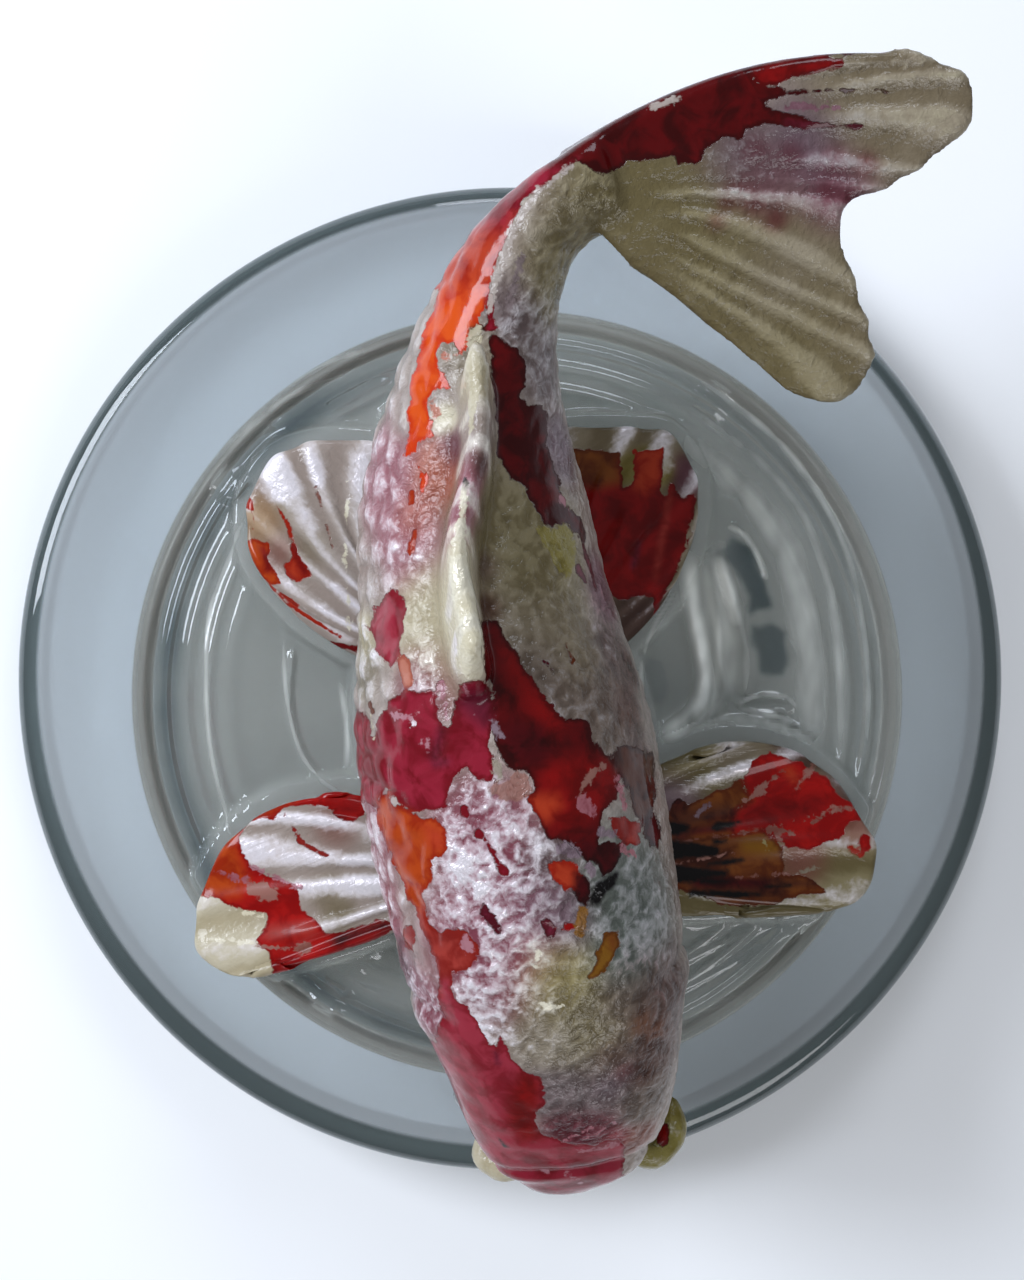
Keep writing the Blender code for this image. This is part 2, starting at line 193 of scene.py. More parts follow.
def roundedCorner(radius, height, bend, start, steps=6):
    # points of a quarter round, centred bend in from a corner; start is its first angle in degrees
    angles = [math.radians(start - 90 * i / steps) for i in range(steps + 1)]
    return [(radius + bend * math.cos(a), height + bend * math.sin(a)) for a in angles]


def fractal(points, size, octaves=3):
    # soft noise of about -1 to 1 with features of that size in mm
    return np.array([noise.fractal(Vector(p), 1.0, 2.0, octaves) for p in points / size])


def connect(tree, node, inputs):
    # links sockets, sets plain values, and turns hex colours to linear light
    for key, value in inputs.items():
        if isinstance(value, bpy.types.NodeSocket):
            tree.links.new(value, node.inputs[key])
        else:
            node.inputs[key].default_value = (*linear(value), 1) if isinstance(value, str) else value


def addNode(tree, kind, inputs=None, output=0, **settings):
    node = tree.nodes.new("ShaderNode" + kind)
    for name, value in settings.items():
        setattr(node, name, value)
    connect(tree, node, inputs or {})
    return node.outputs[output]


def newMaterial(name):
    material = bpy.data.materials.new(name)
    material.use_nodes = True
    tree = material.node_tree
    return material, tree, tree.nodes["Principled BSDF"], partial(addNode, tree)


# settings shared by many nodes
softStep = {"interpolation_type": "SMOOTHSTEP"}
colourBlend = {"data_type": "RGBA", "output": 2}
times = {"operation": "MULTIPLY"}
timesPlus = {"operation": "MULTIPLY_ADD"}


def paintMaterial(name, streaky, rough, leafy, gloss):
    # Solvent lacquers brushed over pearl paint on cast resin, sealed in poured gloss varnish: clear
    # wet highlights over crinkled pearl, glassy red, and edges as ragged as the brush left them.
    # The meshes carry soft fields in mm; the ragged edges come from noise here.
    material, tree, shader, add = newMaterial(name)
    crest, strand, lacquer, touch, dark, leaf = [  # crest is 1 on the ridges of the form, 0 in its hollows; it steers the painted highlight on ridges and the painted shade in hollows
        add("Attribute", attribute_name=field, output="Fac")
        for field in ("crest", "strand", "lacquer", "touch", "dark", "leaf")
    ]
    tint, touchTint, ground, leafTint = [
        add("Attribute", attribute_name=field, output="Color")
        for field in ("tint", "touchTint", "ground", "leafTint")
    ]
    deepTint, touchShade, shade = [  # deepTint is the lacquer where it lies thicker; touchShade and shade are the same colours darkened as painted shade for the hollows
        add("Gamma", {0: colour, 1: power})
        for colour, power in ((tint, 1.35), (touchTint, 1.35), (ground, 1.4))
    ]
    where = add("Mapping", {0: add("TexCoord", output="Object"), 3: (1000,) * 3})  # mm
    flow = add("Attribute", attribute_name="flow", output="Vector")
    flow = add("VectorMath", {0: flow, 1: (1.1, 0.14, 1.0)}, **times)
    # pools of lacquer 2.5 mm wide, mottle of 1.1 mm, grain of 0.5 mm, and bristle marks 0.9 mm wide and
    # 7 mm long: a small brush leaves them about 0.4 mm wide, which is too fine to show
    pool, mottle, fine, bristles = [
        add("TexNoise", {"Vector": vector, "Scale": scale, "Detail": detail, "Roughness": edges,
                         "Distortion": bend})
        for vector, scale, detail, edges, bend in (
            (where, 0.4, 3, 0.55, 0.5), (where, 0.9, 3, 0.6, 0.6),
            (where, 2.0, 2, 0.5, 0.4), (flow, 1.0, 2, 0.5, 0.3))
    ]

    def weightedSum(total, *parts):
        # a total with a share of each part added to it
        for part, share in parts:
            total = add("Math", {0: part, 1: share, 2: total}, **timesPlus)
        return total

    strands = add("Math", {0: bristles, 1: mottle}, operation="SUBTRACT")
    streaks = add("Math", {0: strands, 1: strand, 2: mottle}, **timesPlus)
    pattern = weightedSum(0.0, (mottle, 1 - streaky), (streaks, streaky))

    def ragged(field, wander, brush):
        # a field in mm with its outline made ragged
        start = -0.5 * (wander + brush + 0.7)
        shift = weightedSum(start, (pool, wander), (streaks, brush), (mottle, 0.4), (fine, 0.3))
        return add("Math", {0: field, 1: shift}, operation="ADD")

    # pearl: a wash darker in the hollows, partly the wash pooling there and partly painted shade, with
    # white leaf caught on the ridges, partly pearl flake and partly a painted highlight
    rise = weightedSum(0.0, (crest, 0.58), (pattern, 0.42))
    lift = weightedSum(0.0, (crest, leafy[0]), (pattern, leafy[1]), (fine, 1.0 - sum(leafy)))
    leafShare = weightedSum(-0.88, (leaf, 0.42), (lift, 1.0))
    washAndShade = add("MapRange", {0: rise, 1: 0.28, 2: 0.66}, **softStep)
    haze = add("MapRange", {0: leafShare, 1: -0.16, 2: 0.04, 4: 0.45}, **softStep)
    flake = add("MapRange", {0: leafShare, 1: -0.02, 2: 0.11}, **softStep)
    solid = add("Math", {0: flake, 1: 0.85}, **times)
    # lacquer pools darker in places and along its edges
    depth = ragged(lacquer, 1.2, 0.5)
    lacquer = add("MapRange", {0: depth, 1: -0.09, 2: 0.09}, **softStep)
    shallow = add("MapRange", {0: depth, 1: 0.1, 2: 0.5}, **softStep)
    thin = add("Math", {0: add("MapRange", {0: pool, 1: 0.36, 2: 0.6}, **softStep), 1: shallow}, **times)
    tint = add("Mix", {0: thin, 6: deepTint, 7: tint}, **colourBlend)
    # dry touches on top, with painted shade in their hollows, then the black dots and strokes, which near
    # the left pectoral fin's root are painted shade
    dab = weightedSum(touch, (mottle, 1.2), (fine, 0.9))
    touch = add("MapRange", {0: dab, 1: 0.97, 2: 1.22, 4: 0.9}, **softStep)
    caughtAndLit = add("MapRange", {0: lift, 1: 0.3, 2: 0.5}, **softStep)
    touchTint = add("Mix", {0: caughtAndLit, 6: touchShade, 7: touchTint}, **colourBlend)
    dark = add("MapRange", {0: ragged(dark, 0.6, 0.4), 1: -0.25, 2: 0.25}, **softStep)
    colour = shade
    for share, coat in ((washAndShade, ground), (haze, leafTint), (solid, leafTint), (lacquer, tint),
                        (touch, touchTint), (dark, "080404")):
        colour = add("Mix", {0: share, 6: colour, 7: coat}, **colourBlend)
    # brushed relief, nearly flat under the lacquer, whose edge stands up a little
    relief = weightedSum(0.0, (fine, 0.3 * rough), (pattern, rough))
    kept = add("MapRange", {0: lacquer, 3: 1.0, 4: 0.1}, **softStep)
    relief = add("Math", {0: relief, 1: kept}, **times)
    relief = add("Math", {0: lacquer, 1: 0.12, 2: relief}, **timesPlus)
    # bare leaf glints like foil
    bare = add("Math", {0: 1.0, 1: lacquer}, operation="SUBTRACT")
    glint = add("Math", {0: add("Math", {0: flake, 1: bare}, **times), 1: 0.35}, **times)
    connect(tree, shader, {
        "Base Color": colour, "Metallic": glint,
        "Roughness": add("MapRange", {0: fine, 1: 0.3, 2: 0.7, 3: 0.3, 4: 0.42}, **softStep),
        "Normal": add("Bump", {"Height": relief, "Strength": 0.7, "Distance": 0.0006}),
        "Coat Normal": add("Bump", {"Height": relief, "Strength": 0.6, "Distance": 0.0006}),
        "Specular IOR Level": 0.04, "Coat Weight": 0.7, "Coat Roughness": gloss, "Coat IOR": 1.38,
    })
    return material


# the lacquers and paints on the bench
bench = {
    "cream": "B5AC94", "creamWhite": "C9C2AC", "pearl": "A59A92", "pearlWhite": "E4DEE2", "ivory": "D2CBB6",
    "pearlPink": "9E6E76", "pinkVeil": "8E5260", "salmon": "A96A58", "beige": "857A66",
    "dryBeige": "8C8272", "olive": "7C7254", "yellowOlive": "80763F", "paleYellow": "8E8458",
    "greyGreen": "666C66", "greyMauve": "6E6060", "brownGrey": "6A5C52", "mauve": "74505A",
    "brownMauve": "5A443E", "vividOrange": "C4480E", "orange": "A03A0C", "orangeRed": "A03218",
    "brick": "903028", "tan": "A08464", "amber": "774E10", "rust": "6E3A10", "brown": "4A2210",
    "crimson": "82182A", "crimsonPink": "8C2836", "magenta": "62182A", "deepRed": "780606",
    "darkRed": "4E0204", "maroon": "3E0206", "greyPearl": "A9A6A8", "beigePearl": "A79E80",
    "brightRed": "960B07", "black": "080505", "rose": "9A6068", "clay": "8A6258", "slate": "7A6870",
}


def depthInside(spots, outline):
    # how far inside a closed outline each place lies, in plan; negative outside
    line = np.array(outline, float)
    depth = np.full(len(spots), -6.0)
    low, high = line.min(0) - 4, line.max(0) + 4
    near = np.flatnonzero(((spots > low) & (spots < high)).all(1))
    spots = spots[near]
    away = np.full(len(near), 6.0)
    inside = np.zeros(len(near), bool)
    for (x0, y0), (x1, y1) in zip(line, np.roll(line, -1, axis=0)):
        edge = np.array([x1 - x0, y1 - y0])
        offset = spots - (x0, y0)
        share = np.clip(offset @ edge / max(edge @ edge, 1e-9), 0, 1)
        away = np.minimum(away, np.linalg.norm(offset - share[:, None] * edge, axis=1))
        crossing = (y0 > spots[:, 1]) != (y1 > spots[:, 1])
        reach = x0 + (spots[:, 1] - y0) * (x1 - x0) / (y1 - y0 if y1 != y0 else 1e-9)
        inside ^= crossing & (spots[:, 0] < reach)
    depth[near] = np.where(inside, away, -away)
    return depth


def depthInStroke(points, stroke, snap):
    # how far inside a tapering brush stroke each place lies
    x0, y0, x1, y1, r0, r1 = stroke
    start, end = snap(x0, y0), snap(x1, y1)
    along = end - start
    share = np.clip((points - start) @ along / max(along @ along, 1e-6), 0, 1)
    return r0 + (r1 - r0) * share - np.linalg.norm(points - start - share[:, None] * along, axis=1)


def paintDepth(points, marks, snap):
    # marks are laid one over another; each is (colour, softness, outline or stroke). Gives the depth
    # inside them all together and the colour on top.
    depth = np.full(len(points), -6.0)
    tint = np.tile(linear(bench[marks[0][0]]) if marks else (0, 0, 0), (len(points), 1))
    for colour, soft, shape in marks:
        if np.ndim(shape) == 1:
            inside = depthInStroke(points, shape, snap)
        else:
            inside = depthInside(points[:, :2], shape)
        cover = smoothStep(-soft, soft, inside)[:, None]
        nearest = (inside > depth)[:, None] * (depth < -0.3)[:, None]
        cover = np.maximum(cover, nearest)
        tint = tint * (1 - cover) + np.array(linear(bench[colour])) * cover
        depth = np.maximum(depth, inside)
    return depth, tint


def softField(points, anchors, snap, default):
    # colours, or plain numbers, that fade into each other round their anchors
    base = np.atleast_1d(linear(bench[default]) if isinstance(default, str) else float(default))
    weights = np.full(len(points), 0.06)
    total = np.outer(weights, base)
    for value, x, y, reach in anchors:
        value = np.atleast_1d(linear(bench[value]) if isinstance(value, str) else float(value))
        away = np.linalg.norm(points - snap(x, y), axis=1)
        weight = hump(away, reach)
        weights += weight
        total += np.outer(weight, value)
    return total / weights[:, None]


def storeField(piece, name, values):
    values = np.asarray(values, np.float32)
    if values.ndim == 1:
        layer = piece.data.attributes.new(name, "FLOAT", "POINT")
        layer.data.foreach_set("value", values)
    elif name == "flow":
        layer = piece.data.attributes.new(name, "FLOAT_VECTOR", "POINT")
        layer.data.foreach_set("vector", values.ravel())
    else:
        layer = piece.data.attributes.new(name, "FLOAT_COLOR", "POINT")
        layer.data.foreach_set("color", np.column_stack([values, np.ones(len(values))]).ravel())


def surfaceSnap(piece):
    # finds the highest point of a piece over a place in plan, in mm
    tree = searchTree(piece)

    def snap(x, y):
        hit = tree.ray_cast(Vector((x * mm, y * mm, 0.1)), Vector((0, 0, -1)))[0]
        if hit is None:
            hit = tree.find_nearest(Vector((x * mm, y * mm, 0.036)))[0]
        return np.array(hit) / mm

    return snap


def paint(piece, scheme, flow, snap, crest, limit=6.0, strand=1.0):
    # lays the colour fields of a painting scheme on a piece; limit keeps paint off the underside
    points = readPoints(piece)
    for layer, tintName in (("lacquer", "tint"), ("touch", "touchTint"), ("dark", None)):
        depth, tint = paintDepth(points, scheme.get(layer, []), snap)
        storeField(piece, layer, np.minimum(depth, limit))
        if tintName:
            storeField(piece, tintName, tint)
    storeField(piece, "ground", softField(points, scheme["ground"], snap, scheme["base"]))
    storeField(piece, "leaf", softField(points, scheme["leaf"], snap, scheme["baseLeaf"])[:, 0])
    leafTints = softField(points, scheme.get("leafTint", []), snap, scheme.get("baseTint", "pearlWhite"))
    storeField(piece, "leafTint", leafTints)
    storeField(piece, "flow", flow)
    storeField(piece, "crest", crest)
    storeField(piece, "strand", np.full(len(points), 1.0) * strand)  # how brushed out along the rays


bodyPaint = paintMaterial("lacquered pearl paint, body", 0.4, 0.8, (0.36, 0.4), 0.08)
finPaint = paintMaterial("lacquered pearl paint, fins", 0.5, 0.4, (0.5, 0.32), 0.15)


def place(piece, nodes, slotName, material):
    piece.data.materials.clear()
    piece.data.materials.append(material)
    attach(piece, "root")
    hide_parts(*nodes)


body = {
    "nodes": ["lips", "head", "trunk", "tail_stalk"],
    "fins": ["caudal_fin", "dorsal_fin"],
    "voxel": 0.34,  # the finest that keeps the skin under 200,000 triangles
    "smoothing": ((23, 8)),  # passes before and after the fins are grown in
    "puff": 0.17,  # closes the cuts between the solids
    "spine": [(5.8, -44.9, 33), (4.8, -36.5, 35), (3, -24, 36.8), (-1, -2.4, 36.5), (-3.2, 12, 37),
              (-3.3, 23, 39.4), (-1.9, 31.8, 42.6), (3.2, 40.3, 46.4), (8.5, 42.7, 48.4)],
    "scalePitch": (2.9, 2.7),
    "scaleRise": 0.3,
    "crinkle": 0.2,  # height of the bare pearl's creases
    "waist": 29.5,  # lacquer stops a little above the belly
    # creases and steps: height, place along the spine and half width
    "gillStep": ((0.4, -1.6, 1.3), (-0.35, 0.3, 0.5)),
    "lipCreases": ((-0.4, 4.6, 0.6), (0.2, 3.2, 0.9)),
    "lid": (0.3, 0.55, 0.45),
    "nostrils": ((1.0, -36.4), (8.3, -35.6)),
}

bodyScheme = {
    "base": "pearl", "baseLeaf": 0.35,
    "ground": [
        ("cream", -7, 7.5, 3), ("cream", -6, 3, 2), ("ivory", -4.4, 5, 2.5), ("ivory", -4.8, 10, 2.5),
        ("ivory", -5.6, 7, 2), ("pearlPink", -5, 15, 1.8), ("pearlPink", -4.2, 18, 1.6),
        ("mauve", -5, 20.5, 1.2), ("pearl", -3.8, 22, 1.8), ("cream", -3.6, 26.5, 2),
        ("dryBeige", -3.6, 29, 1.6), ("ivory", -5.8, 23, 0.8), ("pearlPink", -9.5, 13, 3),
        ("pearlPink", -11, 19, 3), ("pearl", -12, 10, 2), ("salmon", -6.4, 18.5, 2),
        # painted shade: the brownMauve and brown anchors at x -2.3 to -2.7 darken the valley along the
        # right of the dorsal fin
        ("salmon", -8.5, 15, 1.5), ("dryBeige", -12.8, 2, 1.6), ("brownMauve", -2.7, 19, 0.9),
        ("brownMauve", -2.6, 15, 0.9), ("brownMauve", -2.4, 11, 1.0), ("brown", -2.3, 7.6, 1.0),
        ("olive", 0, 14, 4), ("olive", 2.5, 11, 3), ("beige", 3, 7, 3), ("brownGrey", 3, 2, 2.5),
        ("brownGrey", 7, 0, 3), ("beige", 5, 3.5, 2), ("mauve", 7.6, 9, 2), ("brownMauve", 8.5, 4, 2),
        # painted shade: the brown anchors at (9.4, -0.6) and (10, 2.4) darken the right flank, which lies
        # away from the lamp
        ("brownMauve", 10.8, -6, 2), ("brown", 9.4, -0.6, 1.8), ("brown", 10, 2.4, 1.2),
        ("greyGreen", 9.5, -17, 4), ("greyGreen", 9.5, -21, 2.5), ("paleYellow", 3.8, -22.8, 2.6),
        ("olive", 4.5, -25.5, 2), ("dryBeige", 3.2, -28, 2.2), ("olive", 6.5, -27.5, 2.5),
        ("brownGrey", 9, -25.5, 2.5), ("brownMauve", 12.5, -25, 3), ("brownMauve", 11.5, -30, 2.5),
        # painted shade: the brown anchor at (8.2, -29.9) darkens the right of the head, away from the lamp
        ("brownGrey", 8, -30.5, 2), ("brown", 8.2, -29.9, 1.2), ("greyMauve", 3.6, -33.4, 2),
        ("greyMauve", 7.5, -33.6, 2.4), ("brownGrey", 11, -34.5, 2), ("slate", 8, -32.8, 1.2),
        ("magenta", 4.6, -36.8, 1.7), ("magenta", 7.2, -36.6, 1.6), ("magenta", 5.8, -38.2, 1.4),
        ("crimsonPink", 8.6, -38.4, 1.2), ("rust", 10.6, -27.2, 1.0), ("rust", 12, -28.4, 1.0),
        ("brown", 11, -32.2, 0.9), ("magenta", 9.2, -31.6, 0.9), ("clay", 10.6, -38.6, 1.4),
        ("rose", 8, -39.2, 1), ("pinkVeil", 5, -42.5, 2), ("pinkVeil", -2, -20, 4),
        ("pinkVeil", -2.5, -11, 3), ("pinkVeil", -7.6, -26, 2), ("mauve", -9.6, -23, 2),
        ("pinkVeil", -1, -16, 3), ("greyMauve", 2.6, -13, 1.8), ("slate", 1.5, -16.5, 2),
        ("slate", 4, -18, 2), ("pinkVeil", -7, 1.8, 2), ("pearlPink", -12, -11, 2.5),
        ("pearlPink", -11.4, -16, 2.5), ("pinkVeil", -10.4, -19.6, 1.6), ("cream", -12.8, 4.6, 1.8),
        ("pearlPink", -13.4, -4, 1.6), ("olive", 4.5, 37, 2.6), ("olive", 8, 41, 3), ("olive", 3, 34, 2),
        ("greyMauve", 0.5, 31.5, 2), ("greyMauve", 2.6, 27.5, 2), ("slate", 4, 21, 2),
        ("dryBeige", -9.6, 29, 2), ("pearl", -9.5, 23.5, 1.5), ("olive", 12, 41, 5), ("olive", 16, 36, 6),
        ("olive", 24, 28, 7), ("slate", 18, 44, 2.5), ("mauve", 20.5, 42, 2), ("slate", 24, 45.2, 2.5),
        ("mauve", 26, 42, 2.5), ("magenta", 19.4, 44.6, 1.0), ("magenta", 22.6, 44.3, 1.0),
        ("magenta", 26, 44, 1.0), ("magenta", 28.6, 43.8, 0.8), ("magenta", 18.4, 42, 1.0),
        ("magenta", 19.6, 40.8, 0.9), ("magenta", 25.6, 41.5, 0.9), ("magenta", 27.2, 41, 0.8),
        ("magenta", 17.4, 40.9, 0.7), ("magenta", 21.4, 39.4, 0.8), ("magenta", 16.6, 39.2, 0.7),
        ("beige", 34, 48.5, 5), ("beige", 29, 47, 3), ("beige", 28, 51, 3), ("dryBeige", 22, 35, 3),
        ("beige", 29, 31, 4),
    ],
    "leaf": [
        (0.95, -4.6, 5, 2.5), (0.9, -5, 10, 2.2), (0.7, -5, 15, 1.8), (0.75, -4.2, 20, 2),
        (0.5, -3.6, 27, 2), (0.95, -2.2, -14.5, 4), (0.95, -2, -23.5, 3), (1.05, -2.6, -25.6, 2),
        (0.85, -2.5, -9, 2), (0.75, 10, -17.5, 3.5), (0.85, -7.8, -26, 2), (0.8, 1.4, -16.4, 2),
        (0.6, 3.8, -17.6, 2), (0.5, 3.2, -2, 3), (0.45, 7, -2, 2.4), (0.15, 10.4, -1.5, 2),
        (0.85, -7.2, 2.4, 2), (0.85, -12, -11, 2.4), (0.85, -11.4, -16, 2.4), (0.8, -12.6, 3.4, 2),
        (0.75, -10.5, 12, 3), (0.7, -11, 20, 3), (0.4, -8, 15, 2), (0.1, -6.8, 17.6, 1.6),
        (0.4, -7, 8, 2.5), (0.25, 0, 14, 3), (0.4, 3, 7, 3), (0.55, 7, 7, 2), (0.4, 3, -23, 2),
        (0.3, 9, -28, 3), (0.45, 3, -27.5, 2), (0.35, 12, -26, 2), (0.4, 6.5, -33, 3), (0.1, 9.4, -31, 1.6),
        (0.35, 6, -37, 2), (1.0, 1.8, -21.2, 0.9), (1.0, 2.9, -25.3, 1.0), (0.3, 11, -37.6, 1.5),
        (0.55, 6.8, -42.6, 1.5), (0.75, 1.8, 30, 2.4), (0.7, 3.5, 25, 2), (0.3, 4, 37, 2), (0.1, 9, 41, 3),
        (0.55, -9.5, 27, 2), (0.9, 17.8, 44, 2.5), (0.75, 22, 44.6, 3), (0.6, 26, 45, 3), (0.5, 33, 47, 4),
        (0.45, 31, 51, 3), (0.3, 14, 37, 3), (0.3, 22, 33, 6), (0.45, 28, 32, 3), (0.6, 23, 41.5, 2),
        (0.7, 22, 48.3, 1.2),
    ],
    "baseTint": "pearlWhite",
    "leafTint": [
        ("pearlWhite", -3, -14, 6), ("pearlWhite", -2, -25, 5), ("pearlWhite", -11, 14, 6),
        ("greyPearl", 3, 3, 3), ("creamWhite", 0, 12, 3), ("greyPearl", 8, 0, 4), ("greyPearl", 10, -17, 4),
        ("greyPearl", 4, -17, 2.5), ("creamWhite", 3, -23, 3), ("ivory", 1.8, -21.2, 1.2),
        ("ivory", 2.9, -25.3, 1.3), ("dryBeige", 7, -27, 3.5), ("rose", 10.5, -25, 2.5),
        ("greyPearl", 7, -33, 3), ("brownGrey", 12, -30, 3), ("rose", 6, -41, 3), ("greyPearl", 2, 29, 3),
        ("creamWhite", 4, 37, 3), ("ivory", -7, 7, 3), ("ivory", -5, 12, 3), ("ivory", -5, 22, 4),
        ("greyPearl", 5, 20, 3), ("rose", 8, 8, 2.5), ("creamWhite", 9, 41, 4), ("beigePearl", 15, 36, 6),
        ("beigePearl", 24, 31, 8), ("greyPearl", 19, 44, 4), ("greyPearl", 26, 44, 4),
        ("beigePearl", 34, 48, 5),
    ],
    "lacquer": [
        ("vividOrange", 0.6, [
            (-7.4, 32), (-7.6, 30.6), (-7.6, 29.5), (-8.1, 28.3), (-8.6, 27.2), (-8.8, 25.8), (-8.9, 24),
            (-8.9, 22.5), (-9.2, 20.2), (-8.6, 20.1), (-8, 21), (-6.9, 21.7), (-6.9, 22.7), (-7.4, 23.9),
            (-7.7, 24.6), (-7, 25.4), (-5.5, 25.8), (-6.1, 27.1), (-6.4, 28.6), (-6, 29.4), (-5.1, 29.3),
            (-4.5, 28.4), (-4, 28.6), (-3.6, 29.9), (-3, 30.4), (-2.8, 31.2), (-2.2, 32.8), (-1.7, 35),
            (-6.4, 35), (-6.6, 33),
        ]),
        ("orangeRed", 2.0, [
            (-2.1, 33.5), (-1.6, 35), (-1.2, 36.4), (-0.6, 38.2), (0, 39.7), (-8, 43), (-12, 36),
            (-5.8, 34),
        ]),
        ("crimson", 1.6, [
            (-0.6, 38.2), (0, 39.7), (0.8, 40.7), (2, 41.6), (3.2, 42.3), (4.2, 43.1), (5, 43.9), (6, 46),
            (4, 51), (-5, 47), (-6, 40),
        ]),
        ("vividOrange", 0.4, [
            (-8.2, 19.6), (-7.5, 18.9), (-6.9, 18.3), (-7.5, 17.4), (-7.8, 16.9), (-8, 18.2),
        ]),
        ("orange", 0.3, [(-8.8, 17.3), (-8.3, 17.3), (-8.3, 16.1), (-8.8, 16.1)]),
        ("orange", 0.3, (-8.1, 14.1, -8.6, 12.3, 0.25, 0.22)),
        ("darkRed", 0.5, [
            (-1.8, 29.9), (-0.6, 28.9), (0.2, 28.8), (0.9, 28.1), (1, 26.3), (0.4, 25.1), (1.4, 24.5),
            (2.4, 24.5), (2.9, 23.8), (3, 22.6), (2.8, 21.2), (3.1, 20.1), (3.6, 18.9), (3.9, 17.6),
            (4.4, 16.5), (5.4, 15.3), (6.2, 14), (6.2, 13), (5.2, 13.7), (4.4, 14.6), (3.2, 14.1),
            (2.4, 14.6), (1.9, 15.4), (1.6, 16.6), (1, 17.5), (0.2, 18), (-0.3, 18.2), (-0.8, 19.1),
            (-1.3, 20.4), (-1.4, 22.2), (-1.5, 23.8), (-1.7, 25.5), (-1.8, 27.3), (-2.1, 29.1),
        ]),
        ("darkRed", 1.0, (1.4, 23.4, 3.2, 17.5, 0.9, 0.9)), ("magenta", 0.4, (6, 12.8, 7, 9.2, 0.4, 0.25)),
        ("magenta", 0.4, (5.4, 10.8, 6, 9.8, 0.3, 0.2)),
        ("brown", 0.2, (-3.5, 30.3, -2.8, 30.5, 0.35, 0.3)),
        ("crimson", 0.3, (-2.2, 33, -1.9, 30.6, 0.3, 0.4)),
        ("crimsonPink", 0.6, [
            (-10.2, 9.2), (-9, 8.2), (-8.9, 6.5), (-9.4, 4.5), (-9.3, 3.2), (-10.6, 2.8), (-11.6, 4.2),
            (-12.4, 5.8), (-11.8, 7.6),
        ]),
        ("crimson", 0.4, (-9.8, 7.4, -9.9, 6.4, 0.35, 0.3)),
        ("crimson", 0.5, [
            (-9.4, 0.75), (-6.4, 0.8), (-6.2, -1.4), (-5.4, -1.9), (-4.9, -0.2), (-4.4, 1.2), (-3.1, 1.8),
            (-1.9, 1.2), (-1.6, -1.6), (-2.1, -3.3), (-1.9, -4.9), (-1.6, -6.5), (-2.7, -6.2), (-4, -5.2),
            (-4.9, -6.3), (-5.4, -7.6), (-5.7, -8.7), (-6.9, -9.1), (-8.1, -9.4), (-9.2, -8.9),
            (-9.9, -8.6), (-10.3, -7.6), (-11, -7.6), (-11.5, -9.1), (-13.5, -9.3), (-18, -8), (-18, -1),
            (-13, -1.4), (-12.3, -2.2), (-11.8, -3.3), (-11.4, -1.9), (-10.6, -0.4), (-9.8, 0.3),
        ]),
        ("magenta", 0.8, (-6, -2.5, -6.6, -4.5, 0.3, 0.5)),
        ("magenta", 0.5, (-5.6, -5, -6.5, -5.2, 0.25, 0.25)),
        ("magenta", 0.8, [(-4.9, -0.2), (-4, 1), (-1.9, 1.1), (-1.6, -1.8), (-2.6, -2.2)]),
        ("darkRed", 0.5, [
            (-2.7, 6.6), (-1.5, 6.6), (-0.75, 5.1), (0.2, 3.5), (0.9, 2.1), (1.9, 0.6), (3.1, -0.6),
            (4, -1.5), (5, -1.6), (6.5, -1.8), (6.6, -3.3), (7.5, -4.5), (8.9, -5.2), (8.9, -6.2),
            (8.6, -8.2), (7.6, -9), (7.1, -10.2), (6.9, -12), (5.9, -13.4), (5.2, -12.4), (4.4, -11.4),
            (3, -11.3), (2.1, -10.2), (1.7, -9.3), (1.1, -8.3), (1.7, -7), (0.9, -5.8), (-0.6, -5.4),
            (-1.5, -4.4), (-1.9, -2.2), (-1.6, 0.3), (-2.1, 1.7), (-2.6, 3.6), (-2.8, 5.4),
        ]),
        ("deepRed", 1.2, [(-1.4, 5), (0.2, 3.2), (2.6, 0), (4, -2), (2.6, -2.4), (0.6, 0), (-0.8, 3)]),
        ("deepRed", 1.2, [
            (2, -5.6), (4.6, -4.6), (7.4, -5), (8.8, -6), (8.4, -8.2), (5.6, -10), (3.4, -10.8),
            (1.6, -8.8), (1.8, -6.6),
        ]),
        ("orangeRed", 0.8, [(0.8, -7.7), (3.4, -7.7), (3.8, -8.6), (2.6, -9.8), (1.6, -9.3)]),
        ("maroon", 0.9, [(0, -1.5), (2.4, -2), (3.2, -4.2), (2, -5.4), (-0.6, -4.8), (-1.4, -2.6)]),
        ("brown", 0.7, [
            (7.6, -4.4), (9.4, -3.9), (12, -4.9), (12.3, -8), (11.5, -10.5), (10.2, -9.9), (9.8, -8),
            (9, -6.3), (8.2, -5.2),
        ]),
        ("maroon", 0.4, [
            (5.6, -11.5), (6.9, -11.9), (7.7, -11.5), (9.1, -11.9), (8.9, -12.8), (8.3, -14), (7.3, -14.6),
            (6.9, -13.6), (5.6, -13),
        ]),
        ("orangeRed", 0.4, [
            (2.7, -13.3), (3.4, -13), (5, -13.1), (5.4, -14), (5.2, -15.2), (4.3, -15.5), (3.2, -14.6),
        ]),
        ("maroon", 0.5, [(4.9, -14), (5.9, -14.4), (6.4, -15.6), (6, -16.8), (5.2, -16.3), (4.8, -15.4)]),
        ("maroon", 0.4, [
            (10.9, -10.4), (11.6, -9.5), (12.2, -10.4), (12.5, -12), (12.3, -12.9), (11.6, -12.4),
            (11, -11.6),
        ]),
        ("brick", 0.7, [(7.6, -9.6), (9.2, -9.8), (10.6, -10.6), (10.4, -12), (9.4, -12.3), (8, -11.2)]),
        ("orange", 0.5, [
            (-10.6, -7.6), (-9.9, -8.7), (-8.1, -9.4), (-6.4, -9.9), (-5.5, -10.9), (-5.5, -12),
